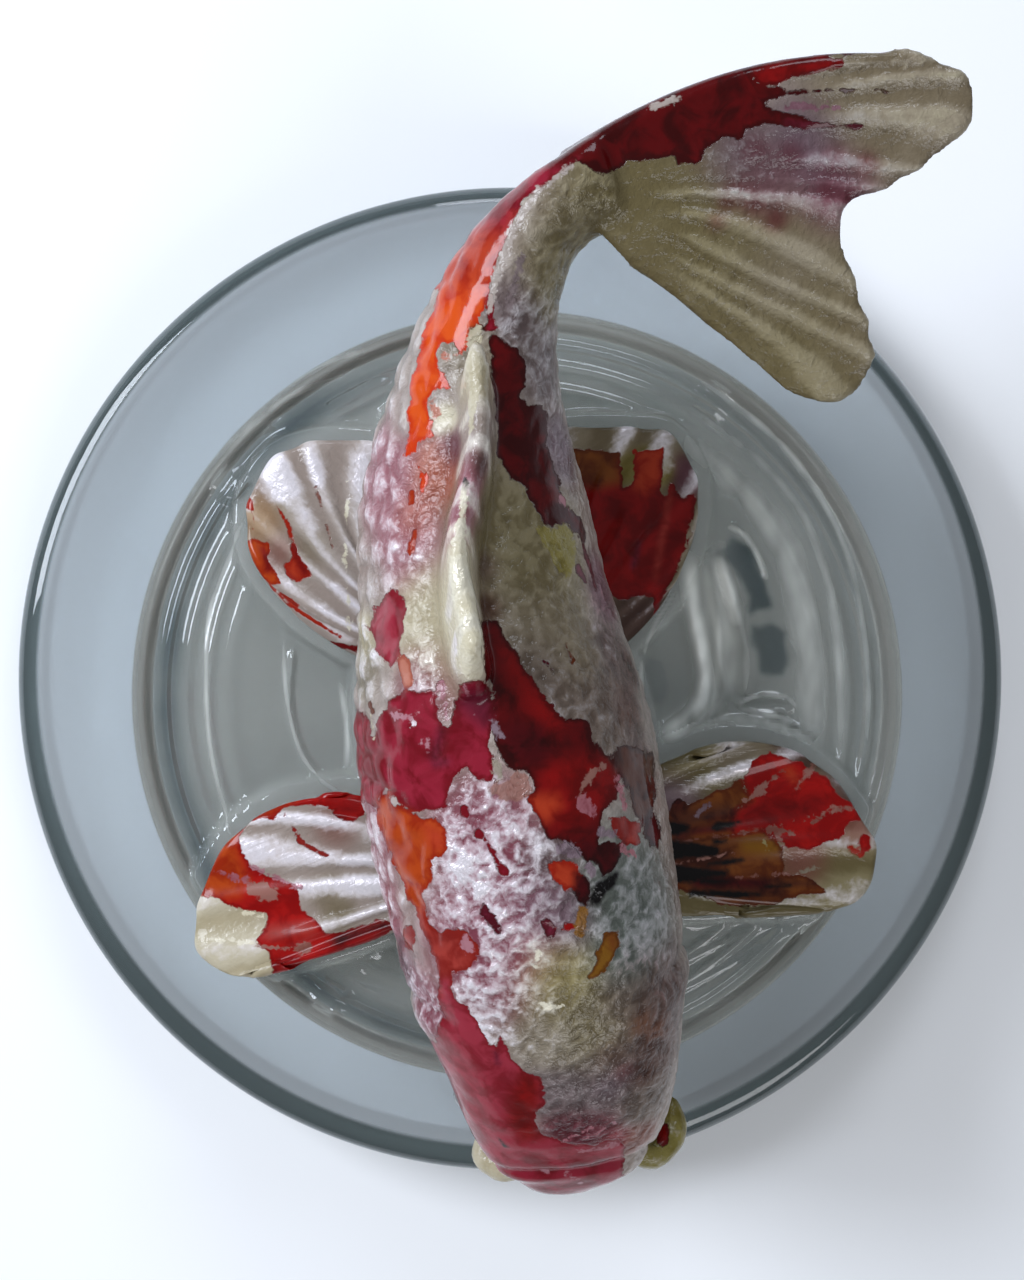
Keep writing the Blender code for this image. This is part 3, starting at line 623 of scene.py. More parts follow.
            (-6.1, -12.9), (-6.8, -13.2), (-6.9, -14.8), (-7.7, -16.3), (-7.4, -17.9), (-7.1, -19.2),
            (-8.1, -18.6), (-9.1, -16.9), (-9.7, -15), (-10.5, -13.2), (-11.2, -11.5), (-11.6, -9.9),
            (-11.4, -8.4),
        ]),
        ("orangeRed", 0.8, [(-7.6, -10.2), (-5.8, -10.6), (-5.6, -12.2), (-6.6, -12.6), (-7.2, -11.6)]),
        ("brick", 0.7, [
            (-7.4, -17.9), (-6.3, -19.2), (-5.4, -18.6), (-4, -18.8), (-3, -19.9), (-2.9, -20.9),
            (-3.6, -22.2), (-5.2, -22.7), (-5.5, -24.1), (-6.1, -24.8), (-6.7, -21.9), (-7.5, -20),
            (-8.3, -18.1),
        ]),
        ("brick", 0.4, [(-9.2, -19.2), (-8.6, -19.1), (-8.4, -20.3), (-8.9, -21.9), (-9.5, -20.9)]),
        ("crimsonPink", 0.6, [
            (-6.5, -23.4), (-5.4, -23.2), (-5.3, -24.3), (-4.9, -25), (-3.6, -25.7), (-3.1, -27.2),
            (-2.5, -28.5), (-1.6, -29.2), (-1.25, -27.8), (-0.75, -28.5), (-0.45, -29.7), (0.35, -30.6),
            (1.2, -31.4), (2.3, -31.9), (2.4, -32.8), (2.4, -34.3), (1.9, -35.7), (2.1, -36.7),
            (2.7, -37.7), (3.6, -38), (5, -38.5), (7.5, -38.4), (9.4, -38.2), (9.6, -39.4), (9.9, -41),
            (9.6, -42), (10, -47), (0, -48), (-5, -42), (-10, -36), (-10, -30), (-6.6, -29.4),
            (-6.3, -27.4), (-6.1, -26), (-6.3, -24.6),
        ]),
        ("deepRed", 0.9, [
            (0.6, -31.2), (2.3, -32), (2.3, -34.5), (1.8, -36), (2.6, -38), (0.5, -38.6), (-0.6, -36),
            (-0.3, -33),
        ]),
        ("crimson", 0.8, [
            (0.4, -39.8), (3.4, -40.4), (8.6, -40), (9.4, -41.4), (9, -46), (1, -46), (-2, -42),
        ]),
        ("magenta", 0.5, (5.2, -41.2, 8.4, -40.8, 0.5, 0.4)),
        ("magenta", 0.3, (-1.6, -29.6, -1.4, -30.6, 0.15, 0.2)),
        ("amber", 0.5, [
            (6.2, -22.8), (7, -20.8), (7.4, -19.2), (8.6, -19), (8.7, -20.4), (7.8, -21.8), (7, -22.6),
        ]),
        ("rust", 0.5, (8, -19.6, 8.2, -20.4, 0.45, 0.35)),
        ("brightRed", 0.3, (4.3, -18.6, 4.9, -18.6, 0.35, 0.25)),
        ("crimson", 0.3, (-4.1, -8.9, -4, -9.2, 0.42, 0.42)),
        ("crimson", 0.3, (-3, -10.8, -2.3, -11.5, 0.4, 0.45)),
        ("crimson", 0.3, (-2.3, -11.5, -0.9, -14, 0.4, 0.38)),
        ("magenta", 0.5, (-2.4, -17.4, -1.2, -18.9, 0.5, 0.45)),
        ("magenta", 0.4, (2.6, -18.2, 3, -19, 0.35, 0.3)),
        ("salmon", 0.4, (-9.3, 3.2, -8.8, 1.4, 0.6, 0.5)), ("rust", 0.4, (4.2, 4.6, 4.9, 3.2, 0.25, 0.35)),
        ("magenta", 0.3, (2, 3.6, 3.1, 2.5, 0.15, 0.15)), ("rust", 0.4, (-12.2, -0.6, -12, -1.2, 0.4, 0.3)),
        ("rose", 0.4, (-6, 1.6, -6.2, 1, 0.3, 0.3)),
        ("darkRed", 0.7, [
            (5, 43.9), (5.9, 43.1), (7.3, 42.7), (8.6, 43.7), (10.4, 43.8), (12.9, 44.6), (13.2, 43.7),
            (15, 43.7), (15.3, 44.6), (17, 45.7), (18.4, 45.6), (18.8, 46.5), (20.3, 46.8), (22, 46.6),
            (23.8, 47.2), (22, 47.6), (20.2, 48.3), (22.1, 49), (25.8, 49.2), (30.7, 49.2), (30.7, 49.4),
            (25.8, 49.5), (22.1, 49.4), (20.5, 49.75), (19.3, 50.15), (20.6, 50.6), (23.1, 50.7),
            (24.4, 51.1), (22.8, 51.3), (25.7, 51.7), (25.1, 52.1), (28.4, 52.3), (26, 54), (19, 53.5),
            (12, 51), (5, 47.5), (2.5, 46), (2.6, 43.4), (4.2, 43.1),
        ]),
        ("darkRed", 1.5, (12.5, 47, 19, 48.2, 1.6, 1.4)), ("deepRed", 1.0, (20, 50.4, 26, 51.6, 0.8, 0.4)),
        ("crimson", 1.0, (3, 45.5, 9, 49.2, 1.0, 0.8)),
        ("deepRed", 0.4, (29.6, 52.4, 33, 52.3, 0.25, 0.15)),
        ("magenta", 0.4, (22, 46.8, 28, 46.6, 0.3, 0.1)),
    ],
    "touch": [
        ("ivory", 0.6, (-3.4, 2.4, -4, 8, 1.2, 1.4)), ("ivory", 0.6, (-4, 8, -4.4, 12.6, 1.4, 0.8)),
        ("ivory", 0.5, (-4.4, 12.6, -4.1, 17, 0.5, 0.3)), ("cream", 0.5, (-3.6, 22, -3.4, 27, 0.4, 0.9)),
        ("cream", 0.5, (-3.4, 27, -3.3, 29.8, 0.9, 0.8)),
        ("black", 0.4, (-4.1, 17.9, -3.9, 17.3, 0.3, 0.25)),
        ("pearl", 0.4, (-2.2, 31.8, -1.3, 35, 0.25, 0.35)),
        ("pearl", 0.4, (-1.2, 35, -0.5, 37.4, 0.35, 0.4)),
        ("pearl", 0.4, (-0.5, 37.4, 0.4, 39.4, 0.4, 0.4)),
        ("pearl", 0.4, (0.4, 39.4, 1.6, 41.1, 0.4, 0.35)),
        ("pearl", 0.4, (1.6, 41.1, 4.6, 43.3, 0.35, 0.3)),
        ("greyMauve", 0.4, (-0.6, 32, 0.6, 36, 0.3, 0.35)),
        ("yellowOlive", 0.5, [
            (1.8, 14.6), (3.2, 14.1), (4.4, 14.6), (5.3, 13.2), (5, 11.5), (4.6, 10), (3.7, 10.4),
            (2.9, 12), (1.9, 13.6),
        ]),
        ("pearlPink", 0.3, (4, 16.8, 4.6, 15.9, 0.25, 0.2)),
        ("salmon", 0.5, (-6, 28.4, -5.2, 28.2, 0.35, 0.4)),
        ("salmon", 0.5, (-7, 24.4, -6.6, 23.6, 0.4, 0.4)),
        ("clay", 0.5, [
            (-2.3, -6.8), (-1, -6.6), (0.2, -5.8), (1, -6), (1.6, -7.4), (0.2, -8.2), (-1, -8),
            (-1.9, -7.6),
        ]),
        ("dryBeige", 0.3, (-1.5, -5.1, -1.4, -5.8, 0.4, 0.35)),
        ("slate", 0.4, (-1.7, -1.8, -1.3, -2.8, 0.35, 0.4)),
        ("clay", 0.3, (5.4, -7.2, 6.4, -6.1, 0.2, 0.32)), ("clay", 0.3, (6.4, -6.1, 7.6, -5.3, 0.35, 0.2)),
        ("rose", 0.4, (5.6, -8.4, 6.3, -9, 0.65, 0.6)), ("rose", 0.4, (8.6, -6.6, 9.2, -9, 0.35, 0.4)),
        ("slate", 0.4, (7.2, -10.8, 8.2, -11.2, 0.5, 0.4)),
        ("slate", 0.4, (3.8, -12, 5.1, -12.4, 0.55, 0.45)),
        ("slate", 0.3, (6.1, -13.6, 6.4, -14.2, 0.45, 0.4)), ("rose", 0.5, (9, -12.3, 10, -13, 0.35, 0.3)),
        # painted highlights: the pearlPink and pearlWhite touches on the crimson patch at x -10.4 to -7
        ("pearlPink", 0.3, (-10.4, -1.3, -8.4, -1.5, 0.22, 0.3)),
        ("pearlWhite", 0.3, (-8.3, -1.9, -8.2, -2, 0.22, 0.2)),
        ("pearlPink", 0.3, (-7.6, -3.4, -7, -3.2, 0.28, 0.2)),
        ("pearlPink", 0.3, (-7.3, -3.3, -7.2, -4.1, 0.22, 0.18)),
        ("pearlPink", 0.4, (-5.9, 1.5, -5.6, -1.6, 0.35, 0.22)),
        ("cream", 0.4, (-12.2, -1.6, -11.9, -3.2, 0.2, 0.12)),
        ("pearlPink", 0.5, (-4, -20, -3.8, -20.6, 0.6, 0.5)),
        ("pearlPink", 0.4, (-4.2, 1.4, -3.4, -1.2, 0.3, 0.12)),
        ("ivory", 0.5, (1.9, -20.6, 1.8, -21.8, 0.25, 0.25)),
        ("ivory", 0.5, (2, -25.1, 3.6, -25.4, 0.2, 0.25)), ("amber", 0.6, (5.6, -17.4, 5.4, -19, 0.5, 0.6)),
        ("rose", 0.4, (4.2, -38.2, 6.6, -36.8, 0.1, 0.16)),
        ("rose", 0.4, (6, -37.9, 8.3, -36.6, 0.14, 0.1)), ("rose", 0.6, (5.5, -39.3, 9, -38.9, 0.25, 0.35)),
        ("pearlPink", 0.4, (7.6, -35.8, 8.7, -36.6, 0.12, 0.2)),
        ("pearlPink", 0.3, (2.6, -41.9, 3, -42.3, 0.3, 0.25)),
        ("pearlPink", 0.3, (4.6, -42.2, 5.8, -42.5, 0.2, 0.25)),
        ("pearlPink", 0.3, (5.9, -43.2, 6.1, -43.3, 0.2, 0.15)),
        ("pearl", 0.4, (11.2, 48.2, 13.4, 48.9, 0.4, 0.25)), ("mauve", 0.6, (22, 48.1, 26, 48.2, 0.3, 0.2)),
    ],
    "dark": [
        ("black", 0.4, [
            (6.2, -15.4), (7, -14.9), (8.3, -14.2), (8.9, -14.1), (8.4, -15.3), (7.5, -15.9), (7.2, -17),
            (6.3, -16.8),
        ]),
        ("black", 0.2, (-1.3, -38.3, -0.8, -38.9, 0.02, 0.1)),
    ],
}


def bodyPlaces(points):
    # for each point: how far along the spine it is, its angle from the back, and its reach from the spine
    samples = curveThrough(body["spine"], 240)
    along = np.gradient(samples, axis=0)
    lengths = np.concatenate([[0], np.cumsum(np.linalg.norm(np.diff(samples, axis=0), axis=1))])
    along /= np.linalg.norm(along, axis=1, keepdims=True)
    side = np.cross(along, [0, 0, 1])
    side /= np.linalg.norm(side, axis=1, keepdims=True)
    up = np.cross(side, along)
    nearest = np.concatenate([
        np.argmin(((block[:, None] - samples) ** 2).sum(2), axis=1) for block in np.array_split(points, 60)
    ])
    away = points - samples[nearest]
    distance = lengths[nearest] + (away * along[nearest]).sum(1)
    angle = np.arctan2((away * side[nearest]).sum(1), (away * up[nearest]).sum(1))
    return distance, angle, np.linalg.norm(away, axis=1)


def finPlaces(points, pieces):
    # how near each point is to the grown-in fins, and their ray coordinates there
    nearness = np.zeros(len(points))
    flow = np.zeros((len(points), 3))
    for piece in pieces:
        tree = searchTree(piece)
        kept = readFlow(piece)
        corners = [face.vertices[0] for face in piece.data.polygons]
        box = np.array([v.co for v in piece.data.vertices]) / mm
        inside = ((points > box.min(0) - 1.5) & (points < box.max(0) + 1.5)).all(1)
        for i in np.flatnonzero(inside):
            face, away = tree.find_nearest(Vector(points[i] * mm))[2:]
            share = max(0, 1 - away / mm / 0.8)
            if share > nearness[i]:
                nearness[i] = share
                flow[i] = kept[corners[face]]
    return nearness, flow


def keepOuterShell(piece):
    # a remesh can leave a pocket inside: what isn't linked to the topmost point goes
    top = int(readPoints(piece)[:, 2].argmax())
    selectOnly(piece)
    bpy.ops.object.mode_set(mode="EDIT")
    bpy.ops.mesh.select_mode(type="VERT")
    bpy.ops.mesh.select_all(action="DESELECT")
    bpy.ops.object.mode_set(mode="OBJECT")
    piece.data.vertices[top].select = True
    bpy.ops.object.mode_set(mode="EDIT")
    bpy.ops.mesh.select_linked()
    bpy.ops.mesh.select_all(action="INVERT")
    bpy.ops.mesh.delete(type="VERT")
    bpy.ops.object.mode_set(mode="OBJECT")


def joined(name, pieces, smoothing):
    # one closed skin over overlapping solids
    selectOnly(*pieces)
    bpy.ops.object.join()
    skin = bpy.context.object
    skin.name = skin.data.name = name
    applyModifier(skin, "REMESH", mode="VOXEL", voxel_size=body["voxel"] * mm, use_smooth_shade=True)
    keepOuterShell(skin)
    applyModifier(skin, "SMOOTH", factor=0.5, iterations=smoothing)
    return skin


def makeBody():
    solids = [copyOfNode(node, body["puff"]) for node in body["nodes"]]
    trunk = joined("koi_trunk", solids, body["smoothing"][0])
    grown = [shapedFin(name, fins[name]) for name in body["fins"]]
    spare = [piece.copy() for piece in grown]
    for piece in spare:
        piece.data = piece.data.copy()
        bpy.context.scene.collection.objects.link(piece)
    skin = joined("koi_skin", [trunk, *spare], body["smoothing"][1])
    points = readPoints(skin)
    normals = readNormals(skin)
    distance, angle, reach = bodyPlaces(points)
    nearness, finFlow = finPlaces(points, grown)
    for piece in grown:
        bpy.data.objects.remove(piece)
    onFin = smoothStep(0.1, 0.7, nearness)
    around = angle * np.maximum(reach, 3)
    flow = np.column_stack([around, distance, np.zeros(len(points))]) * (1 - onFin)[:, None]
    flow += finFlow * onFin[:, None]
    report("skin with %d faces, %.0f mm along the spine" % (len(skin.data.polygons), distance.max()))
    above = (points[:, 2] - body["waist"] + 1.2 * fractal(points, 5)) * 0.6
    limit = np.where(onFin > 0.3, 6, above)
    # scales: staggered soft lumps on the flanks, none on the head
    along = distance / body["scalePitch"][0] + 0.4 * fractal(points, 4.5, 2)
    across = around / body["scalePitch"][1] + 0.4 * fractal(points + 30, 4.5, 2)
    row = np.floor(along)
    cell = np.column_stack([along - row - 0.5, (across + row % 2 * 0.5) % 1 - 0.5])
    lump = np.clip(np.cos(cell[:, 0] * math.pi) * np.cos(cell[:, 1] * math.pi), 0, 1)
    flank = smoothStep(0.35, 0.8, np.abs(angle)) * (1 - smoothStep(2.3, 2.8, np.abs(angle)))
    scaled = smoothStep(22, 27, distance) * (1 - smoothStep(78, 88, distance)) * flank * (1 - onFin)
    scaled *= 0.3 + 0.7 * (angle < 0)
    # thick brushed paint: crinkled where it is bare pearl, flowing out smooth under lacquer
    warp = np.column_stack([fractal(points + shift, 3, 2) for shift in (0, 20, 50)])
    crease = np.abs(fractal(points + warp * 0.8, 1.7, 3))
    crinkle = 1 - smoothStep(0, 0.4, crease)
    ribs = smoothStep(0.1, 0.9, finFlow[:, 2])
    # crest also sets the colour: its ridges, scale tops and fin rays take white leaf and painted highlight,
    # its hollows painted shade
    crest = 0.28 + 0.42 * crinkle + 0.22 * fractal(points + 60, 3.2, 2)
    crest = crest * (1 - 0.8 * scaled) + (0.12 + 0.75 * lump) * 0.8 * scaled
    crest = crest * (1 - onFin) + (0.2 + 0.6 * ribs + 0.15 * fractal(points, 2.4, 2)) * onFin
    strand = smoothStep(0.7, 0.95, nearness)
    paint(skin, bodyScheme, flow * (1, 1, 0), surfaceSnap(skin), crest, limit, strand)
    layers = skin.data.attributes
    lacquer, leaf = [readFloats(layers[name].data, "value", 1)[:, 0] for name in ("lacquer", "leaf")]
    bare = 1 - smoothStep(-0.6, 0.6, lacquer)
    height = body["scaleRise"] * (lump - 0.4) * scaled
    height += body["crinkle"] * bare * (0.15 + leaf) * (1 - onFin) * (1 - 0.6 * scaled) * (crinkle - 0.35)
    grain = 0.04 * fractal(points + 40, 1.4, 2) * bare * (1 - onFin)
    height += 0.14 * fractal(points, 4.0) * (1 - onFin) + grain
    # gill covers end in a soft step behind the cheeks
    gillLine = 21.5 - 5.5 * (np.abs(angle) / 1.45 - 1) ** 2
    cheek = smoothStep(0.6, 1.1, np.abs(angle)) * (1 - smoothStep(2.3, 2.7, np.abs(angle)))
    for rise, start, width in body["gillStep"]:
        height += rise * cheek * hump(distance - gillLine - start, width)
    # crease over the upper lip and a shallow nick at each nostril
    top = 1 - smoothStep(1.5, 2.1, np.abs(angle))
    for rise, start, width in body["lipCreases"]:
        height += rise * top * hump(distance - start, width)
    for x, y in body["nostrils"]:
        height -= 0.12 * hump(np.hypot(points[:, 0] - x, points[:, 1] - y), 0.5)
    # lids round the eyes
    rise, start, width = body["lid"]
    for node in ("eye_left", "eye_right"):
        low, high = [np.array(corner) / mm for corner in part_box(node)]
        ring = np.linalg.norm(points - (low + high) / 2, axis=1) - (high - low)[2] / 2
        height += rise * hump(ring - start, width)
    writePoints(skin, points + normals * (height - 0.08)[:, None])
    skin.data.shade_smooth()
    place(skin, body["nodes"] + body["fins"], "pearl_white", bodyPaint)


fins = {
    "caudal_fin": {
        "rays": 11, "columns": 170, "rows": 84, "thick": (3.4, 1.5), "rise": 0.62, "clear": (0.16, 0.42),
        # its rays run closer together than its rim is long, and are smooth further out on the upper lobe
        "crowd": 0.5, "sleek": 0.36, "root": [(3.6, 44.9, 48.4), (4.6, 42.6, 47.4), (5.4, 40.2, 46.6)],
        "rim": [
            (31, 52.4, 52), (34, 51.9, 52), (36.3, 50.8, 51.8), (37.5, 49.1, 51.5), (37.1, 47.1, 51.2),
            (35.2, 44.8, 50.6), (31, 42, 49.7), (26.9, 40, 49.2), (27.3, 37.6, 48.5), (28.9, 33.2, 47),
            (30.2, 29, 45.6), (29.6, 26.4, 44.8), (27.4, 24.9, 44.5), (24.4, 25, 44.5), (21.8, 26.7, 44.6),
        ],
        "bow": ((-0.1, 2.5, 0.3), (0.9, 0.3, 0)),
    },
    "dorsal_fin": {
        "rays": 7, "columns": 100, "rows": 40, "thick": (4.6, 1.7), "rise": 0.1, "clear": (0.2, 0.8),
        "root": [(-3.2, -0.6, 48.8), (-4.5, 8, 47.2), (-3.7, 18, 45.6), (-2.9, 26, 45.6)],
        "rim": [(-3.6, 4.6, 58.3), (-4.3, 11.5, 57.1), (-3.2, 21, 54.3), (-2.8, 29.6, 52.3)],
        "bow": ((0, -0.9, 0.8), (0, -0.8, 0.4)),
    },
    "anal_fin": {
        "slot": "orange", "rays": 4, "columns": 36, "rows": 20, "thick": (2.2, 0.9), "rise": 0.3,
        "clear": (0, 0.2), "root": [(-3.3, 21.5, 33), (-3, 24, 34.2), (-2.6, 27, 35.6)],
        "rim": [(-3.5, 27.4, 27.2), (-3.1, 30.4, 28.6), (-2.4, 33, 32.4)],
        "bow": ((0, 0.2, -0.6), (0, 0.2, 0)),
        "scheme": {
            "base": "cream", "baseLeaf": 0.5, "ground": [], "leaf": [],
            "lacquer": [("orangeRed", 0.5, (-3, 26, -3, 24, 1.6, 1.2))],
        },
    },
    "pectoral_fin_right": {
        "slot": "candy_red", "rays": 6, "columns": 110, "rows": 64, "thick": (2.0, 1.0), "rise": 0.6,
        "clear": (0, 0.2), "root": [(-7.5, -20.8, 29.6), (-7.6, -17, 29.4), (-8, -12.6, 29)],
        "rim": [
            (-21.6, -25.6, 28), (-26, -26.4, 27.5), (-29, -24.2, 27.3), (-28.6, -18.6, 27.3),
            (-26.1, -14.1, 27.6), (-21.2, -10.6, 28.2), (-15.5, -9.9, 28.8),
        ],
        "bow": ((0, -0.4, 0), (0, 1, 0)),
        "scheme": {
            "base": "pearl", "baseLeaf": 0.5,
            "ground": [
                ("cream", -28, -22, 3.5), ("cream", -24.5, -25, 2.5), ("pearl", -20, -14, 4),
                ("beige", -17, -18.4, 1.2), ("beige", -16, -20.4, 1), ("clay", -16.6, -12.6, 1.5),
            ],
            "leaf": [
                (0.3, -27, -23, 4), (0.95, -12.8, -17, 2), (0.85, -23, -13.6, 2), (0.85, -18.5, -12.4, 2),
                (0.7, -18.5, -18.4, 1.5), (0.6, -14, -21, 1.5), (0.5, -21, -15.6, 1.5),
            ],
            "lacquer": [
                ("brightRed", 0.5, [
                    (-13.75, -9.9), (-13.1, -10.75), (-13.9, -11.5), (-14.55, -12.1), (-15.2, -12),
                    (-16, -11.15), (-16.8, -10.8), (-17.75, -10.5), (-19, -10.4), (-20.15, -10.7),
                    (-20.95, -11), (-21.4, -11.5), (-21.9, -12), (-22.9, -11.9), (-23.8, -12.1),
                    (-24.55, -12.7), (-25, -13.7), (-25, -14.65), (-24.5, -15.6), (-23.9, -16.3),
                    (-23, -16.9), (-21.6, -17.4), (-20.3, -17.8), (-19.5, -18.5), (-19.5, -19.3),
                    (-19.3, -20.1), (-18.4, -20.85), (-17.75, -21.65), (-16.95, -22.3), (-15.35, -22.1),
                    (-13.6, -21.5), (-12.3, -21.1), (-11.35, -21), (-10.7, -21.8), (-12, -22.5),
                    (-14.9, -23.7), (-16.5, -24.6), (-19.3, -26.4), (-21.9, -27), (-22.15, -25.6),
                    (-22.4, -24), (-23.5, -23.2), (-22.55, -21.8), (-22.7, -20.85), (-24.5, -20.5),
                    (-26.1, -20), (-27.2, -19.3), (-28.15, -18.75), (-30, -18.5), (-30, -12.5),
                    (-24.2, -8.5), (-19.4, -7.5), (-13.75, -7.5),
                ]),
                ("orange", 0.9, [
                    (-30, -19), (-27, -19.2), (-25.2, -19), (-24.4, -17.5), (-25, -15.8), (-25.4, -14),
                    (-24.5, -12.5), (-22, -11.5), (-20, -10.2), (-22, -8), (-30, -10),
                ]),
                ("maroon", 0.7, (-11.5, -21.4, -15.8, -22.9, 0.35, 0.55)),
                ("deepRed", 0.5, (-20, -25, -21.6, -25.3, 0.8, 0.7)),
                ("deepRed", 0.8, (-15.4, -11, -14.2, -10.6, 0.8, 0.7)),
                ("brick", 0.8, (-18.6, -21.9, -22, -22.4, 0.5, 0.6)),
                ("brick", 0.3, (-20.9, -11.4, -19.3, -14, 0.16, 0.16)),
                ("brick", 0.3, (-19.3, -14, -16.8, -15.3, 0.16, 0.1)),
            ],
            "touch": [
                ("clay", 0.4, [
                    (-24.4, -17.8), (-23.2, -17.7), (-21.6, -18.1), (-21.2, -18.7), (-21.5, -19.4),
                    (-22.7, -19.6), (-23.5, -19.3), (-24.3, -18.7),
                ]),
                ("rose", 0.3, (-27.2, -16.8, -24.6, -17.5, 0.14, 0.18)),
                ("rose", 0.3, (-26, -17.5, -24.4, -17.9, 0.1, 0.14)),
                ("clay", 0.4, [
                    (-20.4, -23.5), (-19.3, -23.3), (-18.4, -23.1), (-18.6, -23.9), (-19.2, -24.4),
                    (-19.9, -23.9),
                ]),
                ("clay", 0.3, (-23.4, -23.7, -20.4, -23.7, 0.1, 0.14)),
                ("pearlPink", 0.4, (-24.1, -16.2, -21.5, -17.4, 0.25, 0.28)),
                ("pearlPink", 0.4, (-21.5, -17.4, -19.4, -18.2, 0.28, 0.22)),
                ("ivory", 0.3, (-26, -20.4, -22.8, -20.9, 0.1, 0.18)),
                ("ivory", 0.3, (-27.6, -23.1, -23.6, -23.3, 0.18, 0.2)),
            ],
        },
    },
    "pectoral_fin_left": {
        "slot": "candy_red", "rays": 6, "columns": 110, "rows": 64, "thick": (2.0, 1.0), "rise": 0.55,
        "clear": (0.1, 0.7), "root": [(9.8, -20, 29.6), (9.4, -16, 29.4), (8.6, -10.2, 29)],
        "rim": [
            (24, -19.8, 28.4), (31.8, -19.4, 27.8), (33.5, -16, 27.6), (31.6, -11, 27.8), (27, -6.3, 28.2),
            (21.6, -4.8, 28.8), (17.4, -5.6, 29.2),
        ],
        "bow": ((0, -0.9, 0), (0, 0.8, 0)),
        "scheme": {
            "base": "olive", "baseLeaf": 0.3,
            "ground": [
                ("olive", 16, -7, 2), ("dryBeige", 21, -6.5, 2), ("olive", 31, -17.5, 3),
                ("clay", 27, -15.8, 1.6), ("clay", 31.6, -13, 1.4), ("brownMauve", 26, -6.2, 1.6),
                ("brownMauve", 30, -9.4, 1.6), ("slate", 15, -9.6, 1.6),
            ],
            "leaf": [
                (0.8, 20.6, -6.6, 1.5), (0.75, 17, -8.8, 1.4), (0.4, 31, -18, 2), (0.65, 26, -5.8, 1.4),
                (0.3, 28, -16, 2), (0.2, 15.5, -6.6, 1.5),
            ],
            "lacquer": [
                ("brightRed", 0.5, [
                    (21.2, -8), (21.8, -6.7), (22.8, -5.9), (23.75, -5.6), (25.35, -6.6), (26.6, -6.7),
                    (27.6, -7.4), (28.6, -8), (29.4, -9), (30, -9.6), (31, -10.2), (32.2, -11),
                    (32.4, -11.7), (31.8, -12.15), (31, -12.4), (30.6, -12.95), (30.6, -13.6),
                    (29.2, -14.1), (27.6, -14.6), (27, -14.7), (25.35, -14.7), (24.6, -13.9), (24.1, -13.6),
                    (23.1, -12.95), (21.5, -13.2), (20.2, -13.3), (19.9, -12.3), (20.1, -11.2),
                    (21.8, -10.2), (21.2, -9.1),
                ]),
                ("deepRed", 0.9, (22, -11.9, 28, -10.4, 1.2, 0.9)),
                ("orangeRed", 0.6, (25.4, -7.6, 26, -8.4, 0.4, 0.4)),
                ("rust", 0.5, [
                    (15, -10.7), (16.9, -10.2), (18.5, -9.4), (19.9, -8.7), (21, -8.1), (21.4, -9.1),
                    (22, -10.2), (20.2, -11.1), (19.9, -12.3), (20.2, -13.4), (16.4, -13.8), (15.3, -14.5),
                    (12, -13.9), (12, -11.7),
                ]),
                ("maroon", 0.6, (15.2, -10.8, 15.4, -13.6, 0.8, 0.8)),
                ("darkRed", 0.4, (18, -11.7, 20.2, -11.5, 0.35, 0.35)),
                ("darkRed", 0.5, (16.6, -12.9, 20, -12.6, 0.4, 0.4)),
                ("rust", 0.5, [
                    (16.4, -13.8), (20.2, -13.4), (21.5, -13.2), (22.8, -13), (23.9, -13.9), (24.7, -14.9),
                    (25.1, -16.3), (24.9, -16.8), (27.3, -17.2), (28.6, -18.2), (28.7, -18.7),
                    (25.35, -19.2), (24.4, -19.6), (21.8, -20), (19.3, -19.7), (17, -18.7), (15.4, -18.4),
                    (12.8, -17.1), (13, -14.9),
                ]),
                ("brown", 1.2, (14.5, -15.4, 19.4, -15.2, 2.0, 1.0)),
                ("brown", 0.8, (16.5, -17.8, 24.4, -18.6, 0.8, 0.6)),
                ("brown", 1.0, (15.4, -11.8, 19.4, -11.2, 1.1, 0.7)),
                ("amber", 0.9, (21.6, -14.3, 23.6, -14.6, 0.6, 0.8)),
                ("rust", 0.9, (20.4, -16.3, 24.4, -15.9, 0.5, 0.6)),
                ("maroon", 0.5, (17, -17.5, 24, -17.8, 0.55, 0.5)),
                ("brown", 0.5, (24, -17.8, 27.8, -17.8, 0.5, 0.3)),
                ("brightRed", 0.4, (32.3, -13.9, 32.5, -14.9, 0.5, 0.45)),
                ("orangeRed", 0.4, (31, -14.5, 32, -15.2, 0.25, 0.3)),
            ],
            "touch": [
                ("clay", 0.4, (27.6, -12.2, 29.2, -11.2, 0.3, 0.2)),
                ("clay", 0.4, (29.4, -11, 31.4, -10.9, 0.15, 0.2)),
                ("clay", 0.4, (23.4, -12.8, 25.6, -13.1, 0.3, 0.35)),
                ("clay", 0.3, (24.2, -13.2, 24.6, -13.8, 0.35, 0.2)),
                ("clay", 0.4, (26, -9.2, 26.8, -8.1, 0.1, 0.2)),
                ("clay", 0.4, (26.8, -8.1, 27.6, -7.1, 0.2, 0.35)),
                ("clay", 0.4, (22.4, -9.3, 24.9, -7.5, 0.2, 0.2)),
                ("clay", 0.4, (21.3, -10.2, 22.8, -9.4, 0.25, 0.25)),
                ("slate", 0.3, (16.9, -11.6, 17.8, -10.6, 0.15, 0.2)),
                # painted highlights: thin pale lines along the ray crests
                ("clay", 0.2, (14.6, -13.95, 20.2, -13.3, 0.05, 0.08)),
                ("clay", 0.2, (20.2, -13.3, 25, -12.4, 0.08, 0.06)),
                ("clay", 0.2, (25, -12.4, 29.2, -11.4, 0.06, 0.08)),
                ("clay", 0.2, (14.6, -15.9, 20.4, -14.9, 0.04, 0.06)),
                ("clay", 0.2, (20.5, -17.2, 26, -16.85, 0.07, 0.1)),
